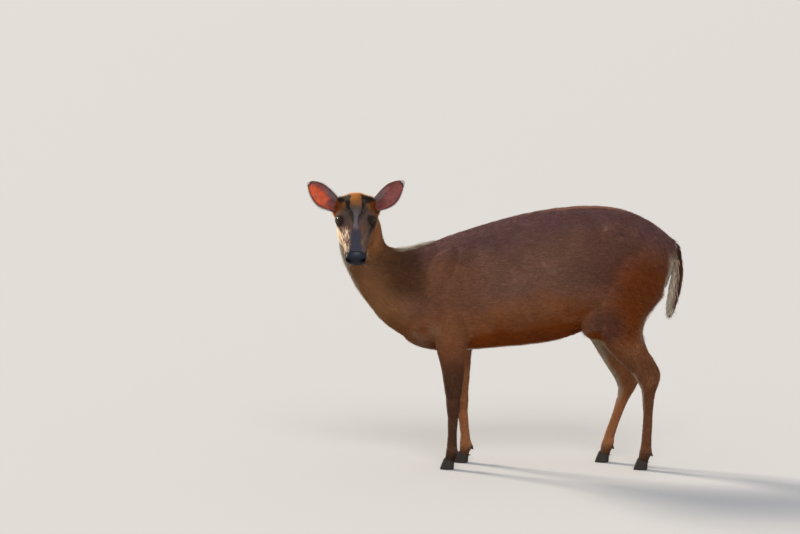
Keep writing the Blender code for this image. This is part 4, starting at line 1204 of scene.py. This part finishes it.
for index, name in enumerate(FLESH):
    chosen = np.flatnonzero(labels == index)
    if len(chosen) == 0:
        continue
    pieces = math.ceil(len(chosen) / PIECE_TUFTS)
    chosen = chosen[np.argsort(roots[chosen, 0], kind="stable")]
    slot = "face_coat" if name in ("head", "nose") else "coat"
    for part, rows in enumerate(np.array_split(chosen, pieces)):
        parts = (roots, outs, lie, lengths, widths, lifts, colours, patches)
        tufts(f"coat_{name}_{part}", slot, draw, *(values[rows] for values in parts))


# Ears
# Two broad leaves of gristle and thin skin, cupped and open to the front. They are reddish inside and brown
# behind, with a dark edge, a pale fringe on the rim and long grey hairs over the inner part of the cup.
EAR_LENGTH = 0.084
EAR = (
    (-0.10, 0.0120, 0.0140, 0.0150),
    (0.00, 0.0142, 0.0180, 0.0180),
    (0.12, 0.0158, 0.0222, 0.0180),
    (0.28, 0.0180, 0.0268, 0.0160),
    (0.46, 0.0195, 0.0275, 0.0130),
    (0.64, 0.0190, 0.0232, 0.0095),
    (0.80, 0.0145, 0.0160, 0.0055),
    (0.92, 0.0088, 0.0085, 0.0025),
    (1.00, 0.0020, 0.0018, 0.0008),
)
EAR_FOOT = (-0.0480, 0.0450, -0.0040)
EAR_LIFTS = {1: math.radians(39.5), -1: math.radians(37.5)}
EAR_LEAN = math.tan(math.radians(12)) * 0.6
EAR_WALL = 0.0019
EAR_GRID = (46, 76)
EAR_START = -0.08

# The ridges inside: height, place across the leaf, half width, and the stretch along it over which they fade
RIDGES = ((0.0011, 0.45, 0.10, 0.30, 0.75), (0.0009, -0.35, 0.12, 0.20, 0.60))
EAR_WAVE = 0.0010
VEIN_SPAN = (0.42, 0.62, 0.0, 0.35)
VEIN_RED = (0.10, 0.01, 0.01, 1.0)
EAR_DULL = (0.250, 0.070, 0.062)
EAR_PAINTED_GLOW = (0.700, 0.105, 0.028)
EAR_MAUVE = (0.300, 0.150, 0.160)
EAR_CUP_SHADE = (0.110, 0.018, 0.016)
EAR_DARK = (0.035, 0.016, 0.014)
EAR_BACK = (0.150, 0.075, 0.035)
FRINGE = (1.250, 1.020, 0.900)
LILAC = (0.500, 0.380, 0.390)

# The kinds of hair: count for a square metre, length, width, stand in degrees, and colour if not the skin's
EAR_HAIR = (
    ("rim", 4.5e6, 0.0038, 0.0007, 15, FRINGE),
    ("back", 0.8e6, 0.0062, 0.0012, 14, EAR_BACK),
    ("down", 0.5e6, 0.0026, 0.0006, 24, None),
    ("long", 1.1e6, 0.0130, 0.0006, 16, LILAC),
)


def eased_rows(stations, places):
    """Rows of numbers read off smooth curves through the given ones, by their first number."""
    rows = np.array(stations)
    steps = np.searchsorted(rows[:, 0], places, side="right").clip(1, len(rows) - 1)
    before, start, end, after = (rows[(steps + k).clip(0, len(rows) - 1)] for k in (-2, -1, 0, 1))
    t = ((places - start[:, 0]) / (end[:, 0] - start[:, 0]))[:, None]
    bend = (2 * before - 5 * start + 4 * end - after) * t * t + (3 * start - before - 3 * end + after) * t**3
    return 0.5 * (2 * start + (end - before) * t + bend)


def put_in_order(bm, kept=0):
    """Sorts the faces after the kept ones by their points, since their order varies from run to run."""
    bm.verts.index_update()
    bm.faces.index_update()

    def place(face):
        number = 0
        for index in sorted(vert.index for vert in face.verts)[:3]:
            number = number * len(bm.verts) + index
        return face.index if face.index < kept else kept + number

    bm.faces.sort(key=place)


ear_skin = Finish("ear_skin", Roughness=0.55, Specular_IOR_Level=0.35)
veins = ear_skin.span(ear_skin.noise(110.0, 5.0), *VEIN_SPAN)
ear_skin.drive("Base Color", ear_skin.blend(veins, ear_skin.attribute("Coat"), VEIN_RED))
ear_skin.bump(ear_skin.noise(520.0, 4.0), 0.0006, 0.5)

for side, name in ((1, "ear_left"), (-1, "ear_right")):
    lift = EAR_LIFTS[side]
    foot = np.array(head_point(EAR_FOOT[0], side * EAR_FOOT[1], EAR_FOOT[2]))
    tipward = Vector((side * math.cos(lift), EAR_LEAN, math.sin(lift))).normalized()
    opening = (Vector((0, -1, 0)) + tipward * tipward.y).normalized()
    inner = tipward.cross(opening) * -side
    tipward, opening, inner = (np.array(way) for way in (tipward, opening, inner))
    bm = bmesh.new()
    bmesh.ops.create_grid(bm, x_segments=EAR_GRID[0], y_segments=EAR_GRID[1], size=1.0)
    leaf_mesh = mesh_of(name + "_leaf", bm)
    s, t = points_of(leaf_mesh).T[:2]
    t = EAR_START + (1 - EAR_START) * (t + 1) / 2
    _, to_inner, to_outer, depth = eased_rows(EAR, t).T
    across = s * np.where(s > 0, to_inner, to_outer)
    level = -depth * (1 - np.abs(s) ** 2.3)
    for height, middle, half, start, end in RIDGES:
        level += height * peak(s - middle, half) * fade(t, start, end)
    level += EAR_WAVE * np.sin(7 * t + 2 * side) * np.abs(s) ** 3
    places = np.outer(t * EAR_LENGTH, tipward) + np.outer(across, inner) + np.outer(level, opening)
    moved(leaf_mesh, foot + places)
    bm = bmesh.new()
    bm.from_mesh(leaf_mesh)
    sheets = 2 * len(bm.faces)
    bmesh.ops.solidify(bm, geom=bm.faces[:], thickness=EAR_WALL)
    put_in_order(bm, sheets)
    bmesh.ops.recalc_face_normals(bm, faces=bm.faces)
    bmesh.ops.triangulate(bm, faces=bm.faces[:])
    bm.to_mesh(leaf_mesh)
    bm.free()
    ear = object_of(name + "_leaf", leaf_mesh)
    moved(leaf_mesh, neighbourly(points_of(leaf_mesh), edges_of(leaf_mesh), (0.4, -0.42) * 4))
    places = points_of(leaf_mesh)
    normals = normals_of(leaf_mesh)
    t = (places - foot) @ tipward / EAR_LENGTH
    across = (places - foot) @ inner
    _, to_inner, to_outer, _ = eased_rows(EAR, np.clip(t, EAR_START, 0.999)).T
    s = across / np.where(across > 0, to_inner, to_outer)
    inside = onset(normals @ opening, -0.15, 0.15)
    rim = np.maximum(np.abs(s), 0.72 + 0.30 * onset(t, 0.80, 0.99))
    blotch = 0.7 * mottle(places, 0.013, 31) + 0.3 * mottle(places, 0.005, 32)
    lit = onset(blotch + 2.2 * (t - 0.20), -0.6, 0.6) * onset(-s, -0.60, 0.10)
    pale = 0.75 * onset(s, 0.20, 0.6) * fade(t, 0.45, 0.75) + 0.25 * onset(blotch, 0.1, 0.6)
    hollow = fade(np.hypot((t - 0.12) / 0.22, (s + 0.25) / 0.50), 0.5, 1.1)
    colours = laid(
        np.tile(EAR_DULL, (len(places), 1)),
        # painted glow of light shining through the right ear from behind, orange red over the outer part of
        # the leaf
        (lit, EAR_PAINTED_GLOW if side < 0 else EAR_DULL),
        (pale, EAR_MAUVE),
        # painted shade: darker red in the deep base of the cup
        (0.70 * hollow, EAR_CUP_SHADE),
        (0.9 * onset(rim, 0.84, 0.92), EAR_DARK),
        (1 - inside, EAR_BACK),
    )
    coloured(leaf_mesh, "Coat", colours)
    unwrapped(ear)
    leaf_mesh = ear.data
    ear_skin.cover(leaf_mesh)
    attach(ear, "root")
    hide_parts(name)

    draw = np.random.default_rng(40 + side)
    edge = onset(rim, 0.94, 0.995) * (t > 0.02)
    cup = inside * onset(s, 0.10, 0.5) * fade(s, 0.82, 0.90) * fade(t, 0.16, 0.42) * (t > 0.0)
    to_tip = np.tile(tipward, (len(places), 1))
    outward = np.outer(np.sign(s) * onset(np.abs(s), 0.3, 0.8), inner)
    outward = unit(outward + np.outer(0.35 + 1.2 * onset(t, 0.75, 1.0), tipward))
    grown = {
        "rim": (edge, outward),
        "back": ((1 - inside) * (1 - edge), to_tip),
        "down": (inside * (1 - edge) * (t > 0.02), to_tip),
        "long": (cup, outward - inner * 1.1),
    }
    parts = [[] for _ in range(8)]
    for kind, density, length, width, stand, colour in EAR_HAIR:
        share, flow = grown[kind]
        corners, shares, roots, outs, patches = even_roots(leaf_mesh, share * density, normals, draw)
        count = len(roots)
        lie = laid_flat(at_roots(flow, corners, shares) + draw.normal(0, 0.16, (count, 3)), outs)
        own = np.tile(colour, (count, 1)) if colour else at_roots(colours, corners, shares)
        if kind == "back":
            own = laid(own, (onset(mottle(roots, 0.012, 33), 0.0, 0.8) * 0.4, CHESTNUT))
        values = (
            roots,
            outs,
            lie,
            length * draw.uniform(0.6, 1.25, count),
            width * draw.uniform(0.8, 1.2, count),
            np.radians(stand + draw.normal(0, 4, count)),
            own * (1 + draw.normal(0, 0.10, count))[:, None],
            patches,
        )
        for rows, value in zip(parts, values):
            rows.append(value)
    tufts(name + "_fur", "ear_skin", draw, *(np.concatenate(rows) for rows in parts))


# Tail
# A short bony core, whose long hair hangs round it in locks: dark rufous brown behind and white underneath
# and at the edges, where the buttocks' white shows beside it.
TAIL = (
    (0.4000, 0.5230, 0.0110, 0.0140, 70),
    (0.4150, 0.5110, 0.0115, 0.0160, 50),
    (0.4215, 0.4900, 0.0110, 0.0190, 5),
    (0.4215, 0.4600, 0.0120, 0.0230, -6),
    (0.4175, 0.4250, 0.0125, 0.0230, -10),
    (0.4110, 0.3900, 0.0100, 0.0180, -14),
    (0.4060, 0.3680, 0.0055, 0.0110, -16),
    (0.4030, 0.3560, 0.0020, 0.0040, -16),
)
TAIL_SHIFT = Vector((-0.0019, MEDIAN, 0.0))
CORE_FILL = ((0.0, 0.92), (0.10, 0.88), (0.24, 0.56), (0.78, 0.46), (1.0, 0.25))
CORE_RINGS = 60
CORE_SIDES = 36
CORE_REACH = 0.84
CORE_SHADE = 0.7
TAIL_BROWN = (0.190, 0.065, 0.024)
TAIL_DARK = (0.060, 0.022, 0.012)
TAIL_GREY = (0.560, 0.400, 0.310)

# The long hair: its rings, its count for a square metre, its width, the top and length of the tail that it
# hangs from, and its length and how steeply it stands from the top down
HAIR_COURSE = ((0.0, 0.20, 0.50), (0.30, 1.0, 0.80), (0.70, 0.75, 1.0))
TAIL_DENSITY = 3.6e5
TAIL_HAIR_WIDTH = 0.0020
TAIL_SPAN = (0.530, 0.175)
TAIL_LENGTHS = ((0.0, 0.12, 0.35, 0.75, 1.0), (0.014, 0.020, 0.036, 0.036, 0.025))
TAIL_STANDS = ((0.0, 0.2, 0.6, 1.0), (10, 15, 15, 8))

rows = [(k / (len(TAIL) - 1), *row) for k, row in enumerate(TAIL)]
shares_along = np.linspace(0.0, CORE_REACH, CORE_RINGS)
bm = bmesh.new()
loops = []
for share, (_, x, z, half_depth, half_width, tilt) in zip(shares_along, eased_rows(rows, shares_along)):
    fill = np.interp(share, *np.array(CORE_FILL).T)
    lean = math.radians(tilt)
    aft_way = Vector((math.cos(lean), 0, math.sin(lean)))
    ring = bmesh.ops.create_circle(bm, segments=CORE_SIDES, radius=1.0)["verts"]
    for vert in ring:
        aside = Vector((0, 1, 0)) * (vert.co.x * half_width * fill)
        vert.co = Vector((x, 0, z)) + TAIL_SHIFT + aside + aft_way * (vert.co.y * half_depth * fill)
    loops.append(ring_edges(ring))
bridged(bm, loops)
for end in (loops[0], loops[-1]):
    bmesh.ops.contextual_create(bm, geom=end)
bmesh.ops.recalc_face_normals(bm, faces=bm.faces)
bmesh.ops.triangulate(bm, faces=bm.faces[:])
core = object_of("tail_core", mesh_of("tail_core", bm))
normals = normals_of(core.data)
behind = normals @ np.array([0.96, 0.0, -0.20])
colours = laid(
    np.tile(WHITE, (len(normals), 1)),
    (onset(behind, -0.75, -0.35), TAIL_GREY),
    (onset(behind, 0.30, 0.60), TAIL_DARK),
    (onset(behind, 0.80, 0.95), TAIL_BROWN),
)
coloured(core.data, "Coat", colours * CORE_SHADE)
unwrapped(core)
hide.cover(core.data)
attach(core, "root")
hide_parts("tail")

draw = np.random.default_rng(51)
density = TAIL_DENSITY * fade(np.abs(normals[:, 2]), 0.60, 0.85)
corners, shares, roots, outs, patches = even_roots(core.data, density, normals, draw)
count = len(roots)
down = np.clip((TAIL_SPAN[0] - roots[:, 2]) / TAIL_SPAN[1], 0, 1)
lie = np.array([-0.10, 0.0, -1.0]) + draw.normal(0, 0.07, (count, 3))
lie += np.outer(0.2 * mottle(roots, 0.012, 52), (0.0, 1.0, 0.0))
lengths = np.interp(down, *TAIL_LENGTHS) * draw.uniform(0.75, 1.12, count)
stand = np.radians(np.interp(down, *TAIL_STANDS) + draw.normal(0, 2.5, count))
own = at_roots(colours, corners, shares)
dark_tips = onset(mottle(roots, 0.010, 53), 0.0, 0.7) * onset(own[:, 0], 0.5, 0.3)
own = laid(own, (0.6 * dark_tips, TAIL_DARK))
pale_tip = onset(down, 0.70, 0.88) * onset(own[:, 0], 0.30, 0.50)
own = laid(own, (0.9 * pale_tip, WHITE)) * (1 + draw.normal(0, 0.12, count))[:, None]
tufts(
    "tail_hair", "coat", draw, roots, outs, laid_flat(lie, outs), lengths,
    TAIL_HAIR_WIDTH * draw.uniform(0.7, 1.2, count), np.maximum(stand, 0.05), own, patches,
    course=HAIR_COURSE, sway=0.07,
)


# Claws
# Each foot stands on two hooves of dark horn, grooved round by their growth and a little worn at the edge,
# with a pair of small dewclaws behind the fetlock.
CLAW_VOXEL = 0.0009
RING_PITCH = 0.0030
RING_HEIGHT = 0.00012
DEWCLAW_HALF = (0.0032, 0.0032, 0.0062)
DEWCLAW_AT = (0.0238, 0.0080, 0.0375)
DEWCLAW_TILT = math.radians(-24)
DEWCLAW_HOOK = 0.0016
HORN_TONES = ((0.012, 0.010, 0.009, 1.0), (0.050, 0.040, 0.033, 1.0))

horn = Finish("claw_horn", Specular_IOR_Level=0.22)
fibres = horn.noise(420.0, 4.0, stretch=(1.0, 1.0, 0.12))
wear = horn.noise(90.0, 3.0)
horn.drive("Base Color", horn.blend(fibres, *HORN_TONES))
horn.drive("Roughness", horn.span(wear, 0.35, 0.65, 0.38, 0.62))
horn.bump(fibres, 0.0003, 0.6)

for foot in ("fore_left", "fore_right", "hind_left", "hind_right"):
    toes = []
    for letter in "ab":
        name = f"claw_{foot}_{letter}"
        claw = worn_copy(name, name + "_horn", CLAW_VOXEL, 8)
        claw_mesh = claw.data
        places = points_of(claw_mesh)
        normals = normals_of(claw_mesh)
        level = places[:, 2] + 0.30 * (places[:, 0] - places[:, 0].mean())
        rings = np.sin(level * 2 * math.pi / RING_PITCH) * (1 - np.abs(normals[:, 2]))
        rings *= onset(places[:, 2], 0.002, 0.005)
        places = places + normals * (rings * RING_HEIGHT)[:, None]
        places[:, 2] = np.maximum(places[:, 2], 0.0)
        moved(claw_mesh, places)
        horn.cover(claw_mesh)
        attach(claw, "root")
        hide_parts(name)
        toes.append(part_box(name))
    middle = sum((low + high for low, high in toes), Vector()) / 4
    bm = bmesh.new()
    for aside in (-1, 1):
        at = Vector((middle.x + DEWCLAW_AT[0], middle.y + aside * DEWCLAW_AT[1], DEWCLAW_AT[2]))
        tilt = Matrix.Rotation(DEWCLAW_TILT, 4, "Y")
        turn = Matrix.Translation(at) @ tilt @ Matrix.Diagonal((*DEWCLAW_HALF, 1.0))
        made = bmesh.ops.create_uvsphere(bm, u_segments=20, v_segments=14, radius=1.0, matrix=turn)["verts"]
        for vert in made:
            drop = (at.z - vert.co.z) / DEWCLAW_HALF[2]
            if drop > 0:
                vert.co.x += DEWCLAW_HOOK * drop * drop
    put_in_order(bm)
    dewclaws = object_of(f"dewclaws_{foot}", mesh_of(f"dewclaws_{foot}", bm))
    horn.cover(dewclaws.data)
    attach(dewclaws, "root")


# Whiskers and lashes
# Stiff single hairs stand out of the lips, chin and brows, and short dark lashes fringe the upper lids. Each
# is one thin closed spike rooted in the hide.
WHISKERS = 46
BROW_HAIRS = 6
LASHES = 46
WHISKER_WIDTH = 0.00045
WHISKER_STAND = 0.75
WHISKER_TONES = ((0.70, 0.62, 0.50), (0.03, 0.025, 0.02))
PALE_SHARE = 0.4
LASH_WIDTH = 0.0005
LASH_STAND = 0.55

draw = np.random.default_rng(61)
a, side, h = head_places(skin_points).T
lip_hairs = on_face * (a > 0.070) * (1 - bare) * (np.abs(h - mouth_level(a) - 0.007) < 0.009)
lip_hairs *= np.abs(side) > 0.012
chin_hairs = on_face * (a > 0.060) * (h < -0.043)
brow_hairs = on_face * (np.abs(eye_distance(skin_points) - 0.020) < 0.0015) * (h > 0.008)
pick = draw.choice(np.flatnonzero((lip_hairs + chin_hairs) > 0), WHISKERS, replace=False)
pick = np.concatenate([pick, draw.choice(np.flatnonzero(brow_hairs), BROW_HAIRS, replace=False)])
outs = skin_normals[pick]
count = len(pick)
lie = np.outer(np.sign(side[pick]), SIDEWARD) * 0.7 + np.array(MUZZLEWARD) * 0.25 - np.array(CROWNWARD) * 0.35
lie = laid_flat(unit(lie + draw.normal(0, 0.15, (count, 3))), outs)
lengths = draw.uniform(0.016, 0.034, count)
pale = (draw.random(count) < PALE_SHARE) * (np.arange(count) < WHISKERS)
own = np.where(pale[:, None], *np.array(WHISKER_TONES))
tufts(
    "whiskers", "face_coat", draw, skin_points[pick], outs, lie, lengths, np.full(count, WHISKER_WIDTH),
    np.full(count, WHISKER_STAND), own, np.full((count, 2), 0.5), course=HAIR_COURSE, sway=0.05,
)

roots, outs, lie = [], [], []
for side in (1, -1):
    looks, corner, upper = (np.array(way) for way in eye_frame(side))
    for across in np.linspace(-0.90, 0.80, LASHES) * ALMOND[0]:
        high = float(almond_height(across))
        way = corner * across + upper * high + looks * math.sqrt(1 - across**2 - high**2)
        roots.append(np.array(EYES[side]) + way * LID_RADIUS)
        outs.append(upper + way * 0.2)
        lie.append(looks * 0.8 + corner * across * 0.7 + upper * 0.1)
roots, outs, lie = np.array(roots), unit(np.array(outs)), np.array(lie)
count = len(roots)
tufts(
    "lashes", "face_coat", draw, roots, outs, laid_flat(lie, outs), draw.uniform(0.0040, 0.0065, count),
    np.full(count, LASH_WIDTH), np.full(count, LASH_STAND), np.tile(STRIPE_BLACK, (count, 1)),
    np.full((count, 2), 0.5), sway=0.15,
)
